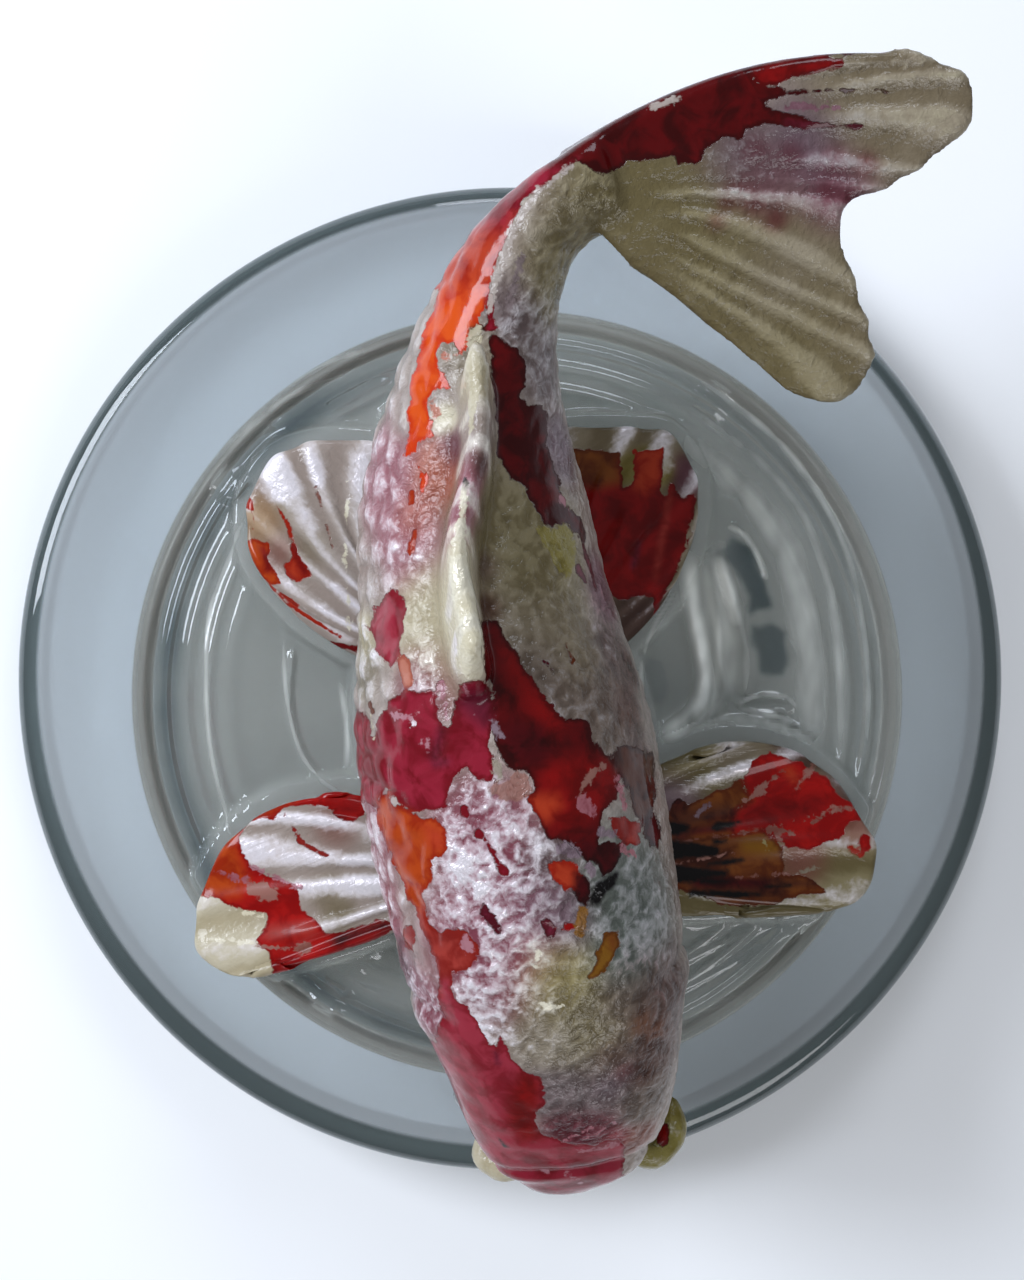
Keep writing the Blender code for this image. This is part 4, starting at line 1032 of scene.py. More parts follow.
                ("dryBeige", 0.3, (26, -16.85, 28.9, -16.3, 0.12, 0.12)),
                ("paleYellow", 0.2, (23, -13.8, 23.4, -14.5, 0.1, 0.14)),
            ],
            # painted shade: near-black and brown strokes between the rays near the root
            "dark": [
                ("black", 0.4, (14.6, -14.6, 18.4, -14.8, 0.9, 0.4)),
                ("black", 0.4, (14.8, -16.8, 19.4, -16.8, 0.8, 0.4)),
                ("black", 0.4, (14.4, -12.6, 16, -12.6, 0.7, 0.3)),
                ("brown", 0.6, (18.6, -12.6, 20.8, -12.1, 0.35, 0.1)),
                ("black", 0.4, (16.4, -18.6, 22.6, -18.8, 0.35, 0.25)),
                ("black", 0.3, (17.8, -16, 21, -15.6, 0.22, 0.15)),
                ("black", 0.3, (23.2, -18.1, 25.4, -18, 0.15, 0.12)),
                ("black", 0.3, (17.4, -17.4, 19.6, -17.6, 0.3, 0.2)),
                ("black", 0.6, (18.5, -13.9, 19.5, -13.8, 0.2, 0.02)),
            ],
        },
    },
    "pelvic_fin_right": {
        "slot": "orange", "rays": 6, "columns": 100, "rows": 60, "thick": (1.9, 1.0), "rise": 0.55,
        "clear": (0, 0.2), "root": [(-7.6, 0.9, 26.9), (-6.6, 3.2, 26.6), (-6, 5.6, 26.6)],
        "rim": [
            (-20.2, 7, 26.5), (-24, 12, 26.4), (-24.3, 17.6, 26.4), (-21.8, 21.4, 26.6), (-18, 22.8, 26.9),
            (-11.5, 22.6, 27.6),
        ],
        "bow": ((-0.8, -0.8, 0), (-3.6, -2.6, 0)),
        "scheme": {
            "base": "pearl", "baseLeaf": 0.4,
            "ground": [
                ("pearl", -15, 14, 6), ("tan", -23, 15.6, 1.6), ("clay", -21.2, 12.6, 1.2),
                ("beige", -18.6, 13, 1.6), ("dryBeige", -20.6, 17, 1.2),
            ],
            "leaf": [
                (1.1, -22.4, 19.2, 1.6), (0.95, -18.9, 19.6, 1.3), (0.9, -18, 16.4, 1.1),
                (0.8, -16, 8, 1.2), (0.8, -15.5, 5.8, 1.4), (0.15, -23, 14, 1.6), (0.3, -20.4, 16, 1),
                (0.3, -16.2, 17, 1.4), (0.7, -14, 20, 1.5),
            ],
            "lacquer": [
                ("orangeRed", 0.3, [
                    (-24.6, 17.6), (-23.9, 17.3), (-23.8, 16.3), (-24.1, 16.3), (-24.6, 16.8),
                ]),
                ("orange", 0.3, (-23.9, 15.8, -24, 14.6, 0.14, 0.14)),
                ("orange", 0.4, [
                    (-24.6, 13.5), (-23.65, 13.6), (-22.4, 13.3), (-22.4, 12.5), (-22.7, 12), (-22.2, 11),
                    (-21.6, 10.2), (-21.4, 9.7), (-22.4, 9.5), (-23.2, 10.2), (-24.2, 11.4), (-24.6, 12.3),
                ]),
                ("deepRed", 0.5, (-23, 12.9, -22.4, 10.9, 0.3, 0.3)),
                ("orangeRed", 0.4, [
                    (-21.7, 16.8), (-21.4, 16.6), (-20.4, 14.9), (-20.2, 13.6), (-19.6, 12.5), (-18.8, 11),
                    (-18.5, 10.4), (-19.1, 10.1), (-19.6, 9.8), (-20.1, 9.8), (-20.9, 10.4), (-21.3, 11.5),
                    (-20.4, 12.1), (-20.5, 12.5), (-20.4, 13.6), (-20.8, 14.9), (-21.4, 15.8),
                ]),
                ("deepRed", 0.5, (-20.2, 13, -19.2, 10.8, 0.3, 0.35)),
                ("orangeRed", 0.3, (-22.2, 9.3, -20.1, 6.4, 0.18, 0.16)),
                ("orangeRed", 0.3, (-20.1, 6.4, -16.6, 4, 0.16, 0.2)),
                ("deepRed", 0.4, (-16.4, 4.1, -14.6, 3, 0.35, 0.5)),
                ("clay", 0.3, (-18, 18.4, -16.6, 13, 0.1, 0.08)),
            ],
            "touch": [
                ("ivory", 0.3, (-15.2, 19, -15.4, 12, 0.1, 0.12)),
                ("ivory", 0.3, (-15.4, 12, -15, 5.4, 0.12, 0.2)),
            ],
        },
    },
    "pelvic_fin_left": {
        "slot": "orange", "rays": 6, "columns": 100, "rows": 60, "thick": (1.9, 1.0), "rise": 0.5,
        "clear": (0.1, 0.7), "root": [(5.2, 0.9, 26.9), (4, 3.4, 26.6), (2.6, 6.2, 26.6)],
        "rim": [
            (14.4, 8.6, 26.5), (16.7, 14, 26.4), (16.8, 20, 26.4), (14.5, 23.5, 26.6), (10.2, 24.1, 26.9),
            (3.5, 23.9, 27.6),
        ],
        "bow": ((0.7, -0.6, 0), (-0.3, 0.2, 0)),
        "scheme": {
            "base": "beige", "baseLeaf": 0.35,
            "ground": [
                ("beige", 8, 22.6, 2), ("yellowOlive", 10.7, 20.4, 1), ("yellowOlive", 12.2, 21, 0.8),
                ("yellowOlive", 14, 20, 0.8), ("mauve", 16.2, 19.6, 1.2), ("brownMauve", 12, 6.4, 2),
            ],
            "leaf": [
                (0.7, 9.6, 23.2, 1.2), (0.7, 12.6, 22.6, 1.2), (0.3, 6.5, 22.6, 1.5),
                (0.75, 15.8, 19.8, 1.2), (0.6, 12, 7.2, 1.6), (0.55, 13.6, 23, 1),
            ],
            "lacquer": [
                ("deepRed", 0.5, [
                    (5, 21), (6.4, 20.9), (7.95, 21.1), (10, 21.1), (10.1, 18.5), (11, 18.6), (11.15, 21.6),
                    (11.75, 21.6), (12, 20.6), (12.4, 20.1), (12.6, 21.3), (13.65, 21.1), (13.75, 18.4),
                    (14.05, 17.9), (14.6, 19.1), (15, 19.2), (15.4, 18), (15.8, 17.5), (16.8, 18.2),
                    (16.85, 16.6), (16.5, 14.9), (16.2, 13), (15.4, 11.6), (15.2, 10.3), (14.5, 9.4),
                    (13.75, 8.2), (13.5, 6.5), (13, 6.3), (13, 8.4), (11.8, 8.4), (10, 8.2), (8.65, 8.9),
                    (5, 9.9),
                ]),
                ("deepRed", 0.9, (8.6, 16.4, 9.6, 12, 0.8, 0.6)),
                ("deepRed", 0.8, (12.6, 16.6, 12, 12.6, 0.7, 0.5)),
                ("rust", 0.8, [(5, 22), (10, 22), (10, 19), (8, 18.6), (5, 19)]),
                ("orangeRed", 0.8, [(11.1, 22), (13.8, 22), (13.6, 19.2), (12.4, 18), (11.2, 18.6)]),
                ("brick", 0.4, (14.6, 18.4, 13.2, 10.4, 0.3, 0.3)),
                ("magenta", 0.4, (11.6, 13.4, 11.2, 11.4, 0.2, 0.3)),
            ],
            "touch": [("beige", 0.4, (16.6, 15.5, 15.4, 10.8, 0.2, 0.25))],
        },
    },
}


def shapedFin(name, fin):
    # a fan of rays: a grid laid between the root and rim lines, then a wall that is thicker on the rays
    columns, rows = ((fin["columns"], fin["rows"]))
    bpy.ops.mesh.primitive_grid_add(x_subdivisions=columns - 1, y_subdivisions=rows - 1, size=2)
    piece = bpy.context.object
    piece.name = piece.data.name = "fin_" + name.replace("_fin", "")
    flat = readPoints(piece) * mm
    t, q = (flat[:, 0] + 1) / 2, (flat[:, 1] + 1) / 2
    lines = [curveThrough(fin[line], columns) for line in ("root", "rim")]
    column = np.rint(t * (columns - 1)).astype(int)
    root, rim = lines[0][column], lines[1][column]
    bow = np.outer((1 - t) ** 2, fin["bow"][0]) + np.outer(t ** 2, fin["bow"][1])
    wander = 0.02 * np.sin(q * 5 + t * 20)
    ray = 0.5 + 0.5 * np.cos(math.tau * (fin["rays"] * (t + wander) - 0.5))  # 1 on a ray, 0 between two
    ray = ray ** 1.2
    grow = q * (1 + 0.012 * (ray - 0.5))  # rays reach a little past the web
    points = root * (1 - grow)[:, None] + rim * grow[:, None] + (4 * q * (1 - q))[:, None] * bow
    widths = np.linalg.norm(rim - root, axis=1)
    rootSpan, span = [np.linalg.norm(np.diff(line, axis=0), axis=1).sum() for line in lines]
    across = t * (rootSpan * (1 - q) + span * q) * fin.get("crowd", 1.0)
    # rays crowded closer than about 2 mm run together into one smooth sheet
    rootStep, rimStep = [np.gradient(line, axis=0)[column] * (columns - 1) for line in lines]
    lean = rootStep * (1 - q)[:, None] + rimStep * q[:, None]
    spacing = np.linalg.norm(np.cross(lean, rim - root), axis=1) / widths / fin["rays"]
    sleek = fin.get("sleek", 0) * (1 - smoothStep(0.3, 0.5, t))  # the upper lobe's rays start further out
    ribbed = smoothStep(fin["clear"][0] + sleek, fin["clear"][1] + sleek, q) * smoothStep(0.5, 2.2, spacing)
    flow = np.column_stack([across, q * widths, ray * ribbed])
    writePoints(piece, points)
    normals = readNormals(piece)
    sway = 0.35 * q * np.sin(math.tau * (1.5 * t + 0.2))  # the web isn't quite flat
    writePoints(piece, points + normals * sway[:, None])
    thick = fin["thick"][0] * (1 - q) + fin["thick"][1] * q
    rise = fin["rise"] * ribbed
    thick *= (1 - rise) + rise * ray
    edge = np.minimum(np.minimum(t, 1 - t) * span * (0.3 + 0.7 * q), (1 - q) * widths)
    thick *= 0.3 + 0.7 * np.sqrt(np.clip(edge, 0, 1))
    thick = np.maximum(thick, 0.3)
    group = piece.vertex_groups.new(name="wall")
    wall = 5  # the thickness that a weight of 1 stands for
    for index, weight in enumerate(thick / wall):
        group.add([index], float(weight), "REPLACE")
    storeField(piece, "flow", flow)
    applyModifier(piece, "SOLIDIFY", thickness=wall * mm, offset=0, vertex_group="wall",
                  use_even_offset=False)
    piece.vertex_groups.clear()
    outwardNormals(piece)
    piece.data.shade_smooth()
    return piece


def makeFin(name, fin):
    piece = shapedFin(name, fin)
    flow = readFlow(piece)
    piece.data.attributes.remove(piece.data.attributes["flow"])
    # the ray crests take white leaf and painted highlight, the hollows between the rays painted shade
    crest = 0.14 + 0.72 * flow[:, 2] ** 0.75 + 0.15 * fractal(readPoints(piece), 2.4, 2)
    paint(piece, fin["scheme"], flow * (1, 1, 0), surfaceSnap(piece), crest)
    place(piece, [name], fin["slot"], finPaint)
    return piece


barbels = {
    "barbel_right": {
        "route": [(2.4, -40.6, 32.4), (-0.9, -43.2, 30.8), (-2.4, -42.6, 30), (-2.8, -40.4, 29.6)],
        "radius": 1.3, "colour": "cream", "inner": "brick",
    },
    "barbel_left": {
        "route": [(9.4, -40.4, 32.4), (12.9, -42, 30.8), (14.5, -40.1, 30), (14.4, -37.2, 29.6)],
        "radius": 1.35, "colour": "yellowOlive", "inner": "deepRed",
    },
    "barbel_small_right": {
        "route": [(3.6, -42.4, 32.6), (2.6, -43.8, 31.2), (2.2, -43.9, 29.9)], "radius": 0.55,
        "colour": "pearlPink", "inner": "brick",
    },
    "barbel_small_left": {
        "route": [(7.6, -42.4, 32.6), (8.7, -43.8, 31.2), (9.1, -43.9, 29.9)], "radius": 0.55,
        "colour": "pearlPink", "inner": "brick",
    },
}


def makeBarbel(name, barbel):
    line = curveThrough(barbel["route"], 26)
    curve = bpy.data.curves.new(name + "_line", "CURVE")
    curve.dimensions = "3D"
    curve.bevel_depth = barbel["radius"] * mm
    curve.bevel_resolution = 6
    curve.use_fill_caps = True
    spline = curve.splines.new("POLY")
    spline.points.add(len(line) - 1)
    for i, spot in enumerate(line):
        share = i / (len(line) - 1)
        swelling = 0.75 + 0.4 * math.sin(math.pi * share)
        spline.points[i].co = (*(spot * mm), 1)
        spline.points[i].radius = swelling * math.sqrt(max(0.02, 1 - share ** 7))  # with a blunt round tip
    selectOnly(linked(name + "_line", curve))
    bpy.ops.object.convert(target="MESH")
    piece = bpy.context.object
    piece.name = piece.data.name = name + "_lobe"
    outwardNormals(piece)
    points = readPoints(piece)
    points += readNormals(piece) * (0.1 * fractal(points, 1.2, 2))[:, None]
    writePoints(piece, points)
    piece.data.shade_smooth()
    x, y = line[len(line) // 2][:2]
    scheme = {"base": barbel["colour"], "baseLeaf": 0.35, "ground": [], "leaf": [],
              "lacquer": [(barbel["inner"], 0.4, (x, y + 1.6, x, y + 0.8, 0.7, 0.5))]}
    paint(piece, scheme, points, surfaceSnap(piece), 0.5 + 0.5 * fractal(points, 1.6, 2))
    place(piece, [name], "pearl_white", bodyPaint)


eyes = {
    "segments": 48, "rings": 32, "forward": (0.93, -0.28, 0.12),  # on the left; mirrored on the right
    "cornea": (0.12, 0.45),  # how far it stands proud and its half width, as shares of the ball
    "pupil": "070606", "iris": ("B49A58", 0.5, 0.56), "rim": ("2A1512", 0.78, 0.86),
}


def eyeMaterial():
    # enamel dots on resin under varnish: a black pupil in a brass-yellow ring, both slightly uneven
    material, tree, shader, add = newMaterial("painted eye enamel")
    wobble = add("TexNoise", {"Vector": add("TexCoord", output="Object"), "Scale": 1200})
    ring = add("Attribute", attribute_name="ring", output="Fac")
    ring = add("Math", {0: ring, 1: 0.08}, operation="SUBTRACT")
    ring = add("Math", {0: wobble, 1: 0.16, 2: ring}, **timesPlus)
    colour = eyes["pupil"]
    for tint, start, end in (eyes["iris"], eyes["rim"]):
        share = add("MapRange", {0: ring, 1: start, 2: end}, **softStep)
        colour = add("Mix", {0: share, 6: colour, 7: tint}, **colourBlend)
    connect(tree, shader, {
        "Base Color": colour, "Roughness": 0.2, "Coat Weight": 1.0, "Coat Roughness": 0.05,
    })
    return material


def makeEye(name, material):
    low, high = [np.array(corner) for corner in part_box(name)]
    centre, radius = (low + high) / 2, (high - low)[2] / 2
    bpy.ops.mesh.primitive_uv_sphere_add(segments=eyes["segments"], ring_count=eyes["rings"], radius=radius)
    piece = bpy.context.object
    piece.name = piece.data.name = name + "_ball"
    outward, ahead, upward = eyes["forward"]
    forward = Vector((outward if name == "eye_left" else -outward, ahead, upward)).normalized()
    piece.data.transform(Matrix.Translation(centre) @ forward.to_track_quat("Z", "Y").to_matrix().to_4x4())
    local = (readPoints(piece) * mm - centre) / radius
    facing = np.arccos(np.clip(local @ np.array(forward), -1, 1)) / (math.pi / 2)
    bulge = eyes["cornea"][0] * radius * hump(facing, eyes["cornea"][1])
    writePoints(piece, (centre + local * (radius + bulge)[:, None]) / mm)
    storeField(piece, "ring", facing)
    piece.data.shade_smooth()
    place(piece, [name], "black_gloss", material)


base = {
    "plateEdge": 2.2, "plateSteps": 256, "tint": "EDF4F8", "wallTintAndShade": "707C7C", "waterTint": "DDDFD8",
    "poolShadeTint": "52666C", "highlightTint": "F2F5EF", "flat": 23.2, "lip": 24.0,
    "lugAngles": (56.7, 143.6, 237.7, 321.7), "lugRise": 0.5,
    # a band of painted shade inside the lip: how far in, and its half width
    "trough": (3.2, 1.5),
    # rings round the disc: radius, height and half width of each ripple, then the trough inside the lip
    "ripples": (
        (27.1, 0.3, 0.9), (29.0, 0.45, 0.55), (31.1, 0.5, 0.6), (33.1, 0.5, 0.6), (34.3, -0.45, 0.6),
    ),
    # the water drawn up round the fins and the flanks
    "shelf": 1.9, "shelfEdge": (1.0, 1.9),
    # painted highlights along folds: a line of places in plan, strength and half width
    "folds": (
        (
            [
                (16.4, 13), (16.7, 10), (17, 7.6), (17.6, 5), (18, 2), (18, 0), (17.6, -1.8), (16.4, -3.2),
                (13.4, -4.8),
            ],
            1.4, 0.75,
        ),
        ([(18, 12), (18.6, 8.6), (19.2, 6), (19.4, 3), (19.2, 0), (18.4, -3)], 0.9, 0.6),
        ([(19, 12.6), (19.6, 10.6), (20.4, 8.6), (21, 5.4)], 1.4, 0.75),
        ([(19.2, 14), (19.4, 9), (19.8, 3), (19.4, -3.6)], 0.55, 2.0),
        ([(20.2, 15.2), (21.6, 14.4), (22.6, 13), (23.3, 11.6), (23.9, 10)], 1.0, 0.25),
        ([(21, -2), (22.4, -1), (24.2, -0.7), (25.8, -1), (27, -2.2)], 0.6, 0.2),
        ([(21, -1.8), (22.6, -2.3), (24.4, -2.6), (26.6, -3.2)], 0.8, 0.22),
        ([(17, -3.6), (20.4, -2.9), (23, -3.2), (26, -4), (29.6, -6)], 0.35, 0.5),
        ([(15.2, 9), (12.9, 5), (12.1, 2), (12.2, -2.4)], 0.5, 0.22),
        (
            [(15, 24), (20.4, 19.8), (23, 17), (25.4, 13.6), (26.6, 10), (27.4, 6), (27.8, 2), (28.4, -7)],
            0.5, 1.3,
        ),
        ([(16, 26.6), (24, 20.4), (27.6, 15.6), (29.6, 10), (30.6, 4), (31, -8)], 0.4, 0.4),
        ([(16, 30), (26, 22), (30, 16), (32.2, 10), (33.2, 4), (33.4, -8)], 0.45, 0.3),
        ([(-24, 17.6), (-26.3, 12.6), (-28.3, 7.3), (-28.7, 1.5), (-28.3, -5.8), (-26, -15)], 0.4, 0.2),
        ([(-21.6, 6), (-20.8, -2.9), (-19.4, -7), (-15, -10.6)], 0.35, 0.2),
        ([(-16.2, 0.6), (-15.5, -4.4), (-15.6, -8)], 0.6, 0.25),
        ([(-27, 22), (-22, 26.4), (-14, 30)], 0.3, 0.3), ([(-25, 25), (-19, 29.6), (-12, 32)], 0.3, 0.25),
    ),
    # pools of painted shade between them: strength and outline in plan
    "pools": (
        (0.9, [
            (19.3, 12.8), (20.6, 14.5), (22.4, 13), (23.6, 11), (24.3, 8.6), (24.4, 7.6), (22.4, 6.9),
            (22.2, 8.5), (21.4, 10.2), (20.6, 11.4), (19.8, 12),
        ]),
        (0.8, [
            (22.4, 5.8), (24.6, 6), (25.9, 5.2), (25.9, 3.2), (25.7, 1), (24.6, 0.9), (23.4, 1.2),
            (23, 2.8), (22.4, 4.2),
        ]),
        (0.3, [(12.4, 1.6), (13, 2.6), (14.2, 2), (14.8, 0.4), (14.2, -1.6), (12.8, -1.8), (12.3, 0)]),
    ),
    # swells: a line of places in plan, height and half width
    "swells": (
        ([(16.2, 11), (17, 6), (17.9, 1), (17.7, -1.4), (16.2, -3), (14, -4.6)], 0.8, 0.8),
        ([(18.4, 12.4), (19.3, 8), (19.4, 3), (19.8, -1), (18, -3.4)], 0.7, 0.55),
        ([(19.6, 12), (20.6, 8.5), (21.9, 4), (21.9, 0)], 0.9, 0.7),
        ([(21, 15.2), (22.1, 13.4), (23.4, 11)], 0.6, 0.35),
        ([(16, 24.5), (20.5, 18), (24.2, 12), (26.2, 6), (27.2, 0)], 0.5, 0.6),
        ([(21.4, -1.7), (23, -1), (25, -1), (26.6, -1.8), (24.6, -2.5), (22.4, -2.3)], 0.45, 0.3),
        ([(18.8, -3.3), (23, -3), (26.4, -3.5), (29.4, -4.8)], 0.5, 0.4),
        ([(-20.6, 3), (-20.9, -1), (-20.3, -4.6), (-19.2, -7), (-17.3, -9.2)], 0.4, 0.35),
        ([(-28.6, 27), (-24, 24.6), (-18, 25.6), (-12, 28.6)], 0.5, 0.5),
        ([(-18, -33), (-12, -25), (-8, -27)], 0.4, 0.5), ([(14, -27), (20, -24), (26, -21.6)], 0.4, 0.5),
        ([(13, -30), (20, -26.4), (28, -21.4)], 0.4, 0.5),
    ),
}


def clearMaterial(name, tint, haze, wall=None, veined=False):
    # Cast and flame-polished acrylic: a faint cool tint, a glassy surface, a trace of haze in the
    # body, and the slight unevenness that casting leaves. The wall of a thick plate is painted darker,
    # partly for the long path of light through it and partly as painted shade for the dark seen
    # through it from above.
    material, tree, shader, add = newMaterial(name)
    where = add("TexCoord", output="Object")
    sweep = add("TexNoise", {"Vector": where, "Scale": 160})  # waves of about 6 mm
    connect(tree, shader, {
        "Base Color": tint, "Transmission Weight": 1.0 - haze, "IOR": 1.49, "Roughness": 0.03,
        "Normal": add("Bump", {"Height": sweep, "Strength": 0.15, "Distance": 0.0004}),
    })
    if wall:  # painted shade on the cut lip, a band broader on the near side
        flat = add("VectorMath", {0: where, 1: (1, 1, 0), 2: (0, -0.6 * mm, 0)}, **timesPlus)
        reach = add("VectorMath", {0: flat}, "Value", operation="LENGTH")
        share = add("MapRange", {0: reach, 1: wall[0] * mm, 2: wall[1] * mm}, **softStep)
        connect(tree, shader, {"Base Color": add("Mix", {0: share, 6: tint, 7: wall[2]}, **colourBlend)})
    if veined:  # painted highlight along the folds, and painted shade in the pools between them, which are also clearer
        paintedHighlight, pool = [add("Attribute", attribute_name=field, output="Fac") for field in ("paintedHighlight", "pool")]
        poolShaded = add("Mix", {0: pool, 6: tint, 7: base["poolShadeTint"]}, **colourBlend)
        connect(tree, shader, {
            "Base Color": add("Mix", {0: paintedHighlight, 6: poolShaded, 7: base["highlightTint"]}, **colourBlend),
            "Transmission Weight": add("Math", {0: paintedHighlight, 1: haze - 1.0, 2: 1.0 - haze}, **timesPlus),
        })
    return material


def makePlate(material):
    low, high = [np.array(corner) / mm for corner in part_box("base_plate")]
    radius, bend = (high - low)[0] / 2, base["plateEdge"]
    profile = [(0, high[2])]
    profile += [(radius - bend - r, high[2]) for r in (20, 2)]
    profile += roundedCorner(radius - bend, high[2] - bend, bend, 90)
    profile += roundedCorner(radius - bend, low[2] + bend, bend, 0)
    profile += [(radius - bend - 2, low[2]), (0, low[2])]
    plate = turned("plate_clear", profile, base["plateSteps"])
    plate.data.shade_smooth()
    place(plate, ["base_plate"], "clear_acrylic", material)


def awayFromLine(spots, line):
    # how far each place lies from a smooth line in plan, and how near it is to the line's middle
    line = curveThrough(line, 24)
    away = np.full(len(spots), 99.0)
    middle = np.zeros(len(spots))
    for i, (start, end) in enumerate(zip(line[:-1], line[1:])):
        along = end - start
        share = np.clip((spots - start) @ along / (along @ along), 0, 1)
        reach = np.linalg.norm(spots - start - share[:, None] * along, axis=1)
        middle = np.where(reach < away, np.sin((i + share) / (len(line) - 1) * math.pi), middle)
        away = np.minimum(away, reach)
    return away, middle


def makeWater(material):
    low, high = [np.array(corner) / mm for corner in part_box("water_disc")]
    radius, lip = (high - low)[0] / 2, base["lip"]
    centre = np.array([*((low + high) / 2)[:2], 0])
    rings, steps = ((200, 430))
    profile = [(radius * i / rings, lip) for i in range(rings)]
    profile += [(radius - 0.15, lip - 0.1), (radius, lip - 0.5), (radius, lip - 3), (radius, low[2] + 0.4),
                (radius - 0.4, low[2]), (0, low[2])]
    water = turned("water_clear", profile, steps)
    points = readPoints(water)
    reach = np.hypot(points[:, 0], points[:, 1])
    onTop = points[:, 2] > lip - 0.01
    points += centre
    # distance in plan from the outline of the koi's trunk and low fins
    shadows = []
    for name, node in frame["nodes"].items():
        if name.startswith(("pectoral", "pelvic", "trunk")):
            flat = [(vertex.co.x, vertex.co.y, 0) for vertex in node.data.vertices]
            shadows.append(BVHTree.FromPolygons(flat, [face.vertices for face in node.data.polygons]))
    away = np.full(len(points), 60.0)
    for i in np.flatnonzero(onTop):
        spot = Vector((points[i, 0] * mm, points[i, 1] * mm, 0))
        away[i] = min(shadow.find_nearest(spot)[3] for shadow in shadows) / mm
    height = 0.06 * fractal(points, 6, 2)
    for ring, rise, width in base["ripples"]:
        height += rise * hump(reach - ring, width)
    for line, rise, width in base["swells"]:
        height = np.maximum(height, rise * hump(awayFromLine(points[:, :2], line)[0], width))
    height = np.maximum(height, base["shelf"] * (1 - smoothStep(*base["shelfEdge"], away)))
    edge = smoothStep(radius - 1.9, radius - 1.1, reach)
    height = height * (1 - edge) + (lip - base["flat"]) * edge
    angle = np.degrees(np.arctan2(points[:, 1] - centre[1], points[:, 0] - centre[0])) % 360
    lugBand = smoothStep(radius - 4.4, radius - 4.1, reach)
    lugEnd = 1 - smoothStep(radius - 1.6, radius - 1.3, reach)
    for lug in base["lugAngles"]:
        near = np.abs((angle - lug + 180) % 360 - 180) * math.pi / 180 * reach
        height += base["lugRise"] * (1 - smoothStep(1.2, 1.5, near)) * lugBand * lugEnd
    # painted highlight along the folds, and faintly round the koi's outline
    paintedHighlight = 0.08 * (1 - smoothStep(1.0, 1.9, away))
    streaked = 0.75 + 0.5 * fractal(points * (1, 0.4, 1), 1.6, 2)
    for line, strength, width in base["folds"]:
        fromLine, middle = awayFromLine(points[:, :2], line)
        paintedHighlight = np.maximum(paintedHighlight, strength * streaked * middle ** 0.6 * hump(fromLine, width))
    paintedHighlight = np.clip(paintedHighlight, 0, 1)
    # painted shade in the pools
    pool = np.zeros(len(points))
    wavy = 0.5 * fractal(points + 9, 2.5, 2)
    for strength, outline in base["pools"]:
        depth = depthInside(points[:, :2], outline) + wavy
        pool = np.maximum(pool, strength * smoothStep(-0.35, 0.45, depth))
    # painted shade just inside the lip, darker on the left of the disc, which stays clear there
    trough = hump(reach - radius + base["trough"][0], base["trough"][1])
    leftward = smoothStep(-0.1, 0.4, -np.cos(np.radians(angle - 20)))
    pool = np.maximum(pool, trough * (0.3 + 0.6 * leftward * (0.8 + 0.4 * fractal(points + 5, 7, 2))))
    storeField(water, "paintedHighlight", paintedHighlight * onTop)
    storeField(water, "pool", pool * onTop)
    points[:, 2] += np.where(onTop, height + base["flat"] - lip, 0)
    writePoints(water, points)
    water.data.shade_smooth()
    water.data.set_sharp_from_angle(angle=math.radians(50))
    place(water, ["water_disc"], "clear_acrylic", material)


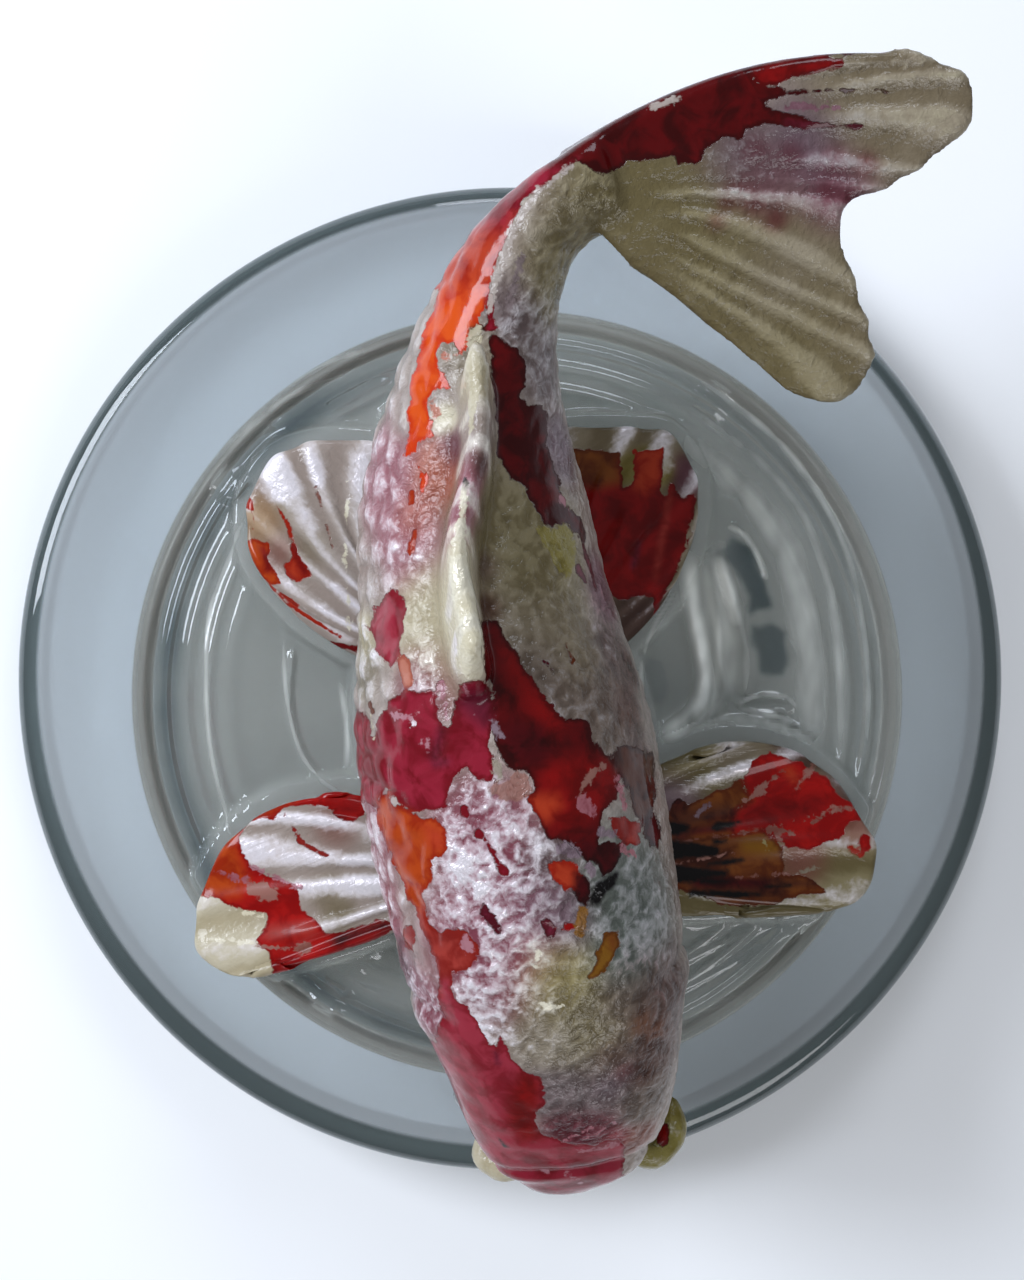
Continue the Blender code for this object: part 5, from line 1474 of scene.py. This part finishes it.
stage = {
    "camera": (-1.7, 8.45, 230), "aim": (0.1, 4.15, 10), "lens": 61.9, "floor": "F1F2F3", "floorSize": 6,
    "floorDrop": 0.0001, "sky": "C4CAD0", "skyPower": 0.40, "lampAim": (0, 0, 0.03),
    "lamps": {
        "window": {"place": (-0.33, 0.15, 0.32), "size": (0.20, 0.23), "power": 2.3, "colour": "ECF3FF"},
        "north": {"place": (0.06, 0.42, 0.38), "size": (0.24, 0.16), "power": 0.9, "colour": "EDF3FF"},
        "fill": {"place": (0.16, -0.42, 0.40), "size": (0.36, 0.2), "power": 1.2, "colour": "F6F6FA"},
    },
}


def aimed(piece, spot, target):
    # turned to look at a target with the frame's +Y up in the picture
    forward = (Vector(target) - Vector(spot)).normalized()
    right = forward.cross(Vector((0, 1, 0))).normalized()
    up = right.cross(forward)
    piece.matrix_world = Matrix.Translation(spot) @ Matrix((right, up, -forward)).transposed().to_4x4()


def makeStage():
    camera = linked("camera", bpy.data.cameras.new("camera"))
    camera.data.lens = stage["lens"]
    camera.data.sensor_width = 36
    camera.data.clip_start = 0.005
    aimed(camera, [c * mm for c in stage["camera"]], [c * mm for c in stage["aim"]])
    bpy.context.scene.camera = camera
    for name, lamp in stage["lamps"].items():
        light = bpy.data.lights.new(name, "AREA")
        light.shape = "RECTANGLE"
        light.size, light.size_y = lamp["size"]
        light.energy = lamp["power"]
        light.color = linear(lamp["colour"])
        aimed(linked(name, light), lamp["place"], stage["lampAim"])
    world = bpy.data.worlds.new("studio")
    bpy.context.scene.world = world
    world.use_nodes = True
    sky = world.node_tree.nodes["Background"]
    connect(world.node_tree, sky, {"Color": stage["sky"], "Strength": stage["skyPower"]})
    bpy.ops.mesh.primitive_plane_add(size=stage["floorSize"], location=(0, 0, -stage["floorDrop"]))
    floor = bpy.context.object
    floor.name = "floor"
    material, tree, shader = newMaterial("pale card")[:3]
    connect(tree, shader, {"Base Color": stage["floor"], "Roughness": 0.8})
    floor.data.materials.append(material)
    bpy.context.scene.view_settings.view_transform = "Standard"


makeBody()
for finName, finSizes in fins.items():
    if finName not in body["fins"]:
        makeFin(finName, finSizes)
report("fins")
for barbelName, barbelSizes in barbels.items():
    makeBarbel(barbelName, barbelSizes)
enamel = eyeMaterial()
for eyeName in ("eye_left", "eye_right"):
    makeEye(eyeName, enamel)
report("barbels and eyes")
makePlate(clearMaterial("cast acrylic, plate", base["tint"], 0.3, (47, 47.6, base["wallTintAndShade"])))
makeWater(clearMaterial("cast acrylic, water", base["waterTint"], 0.22, veined=True))
report("clear base")
makeStage()
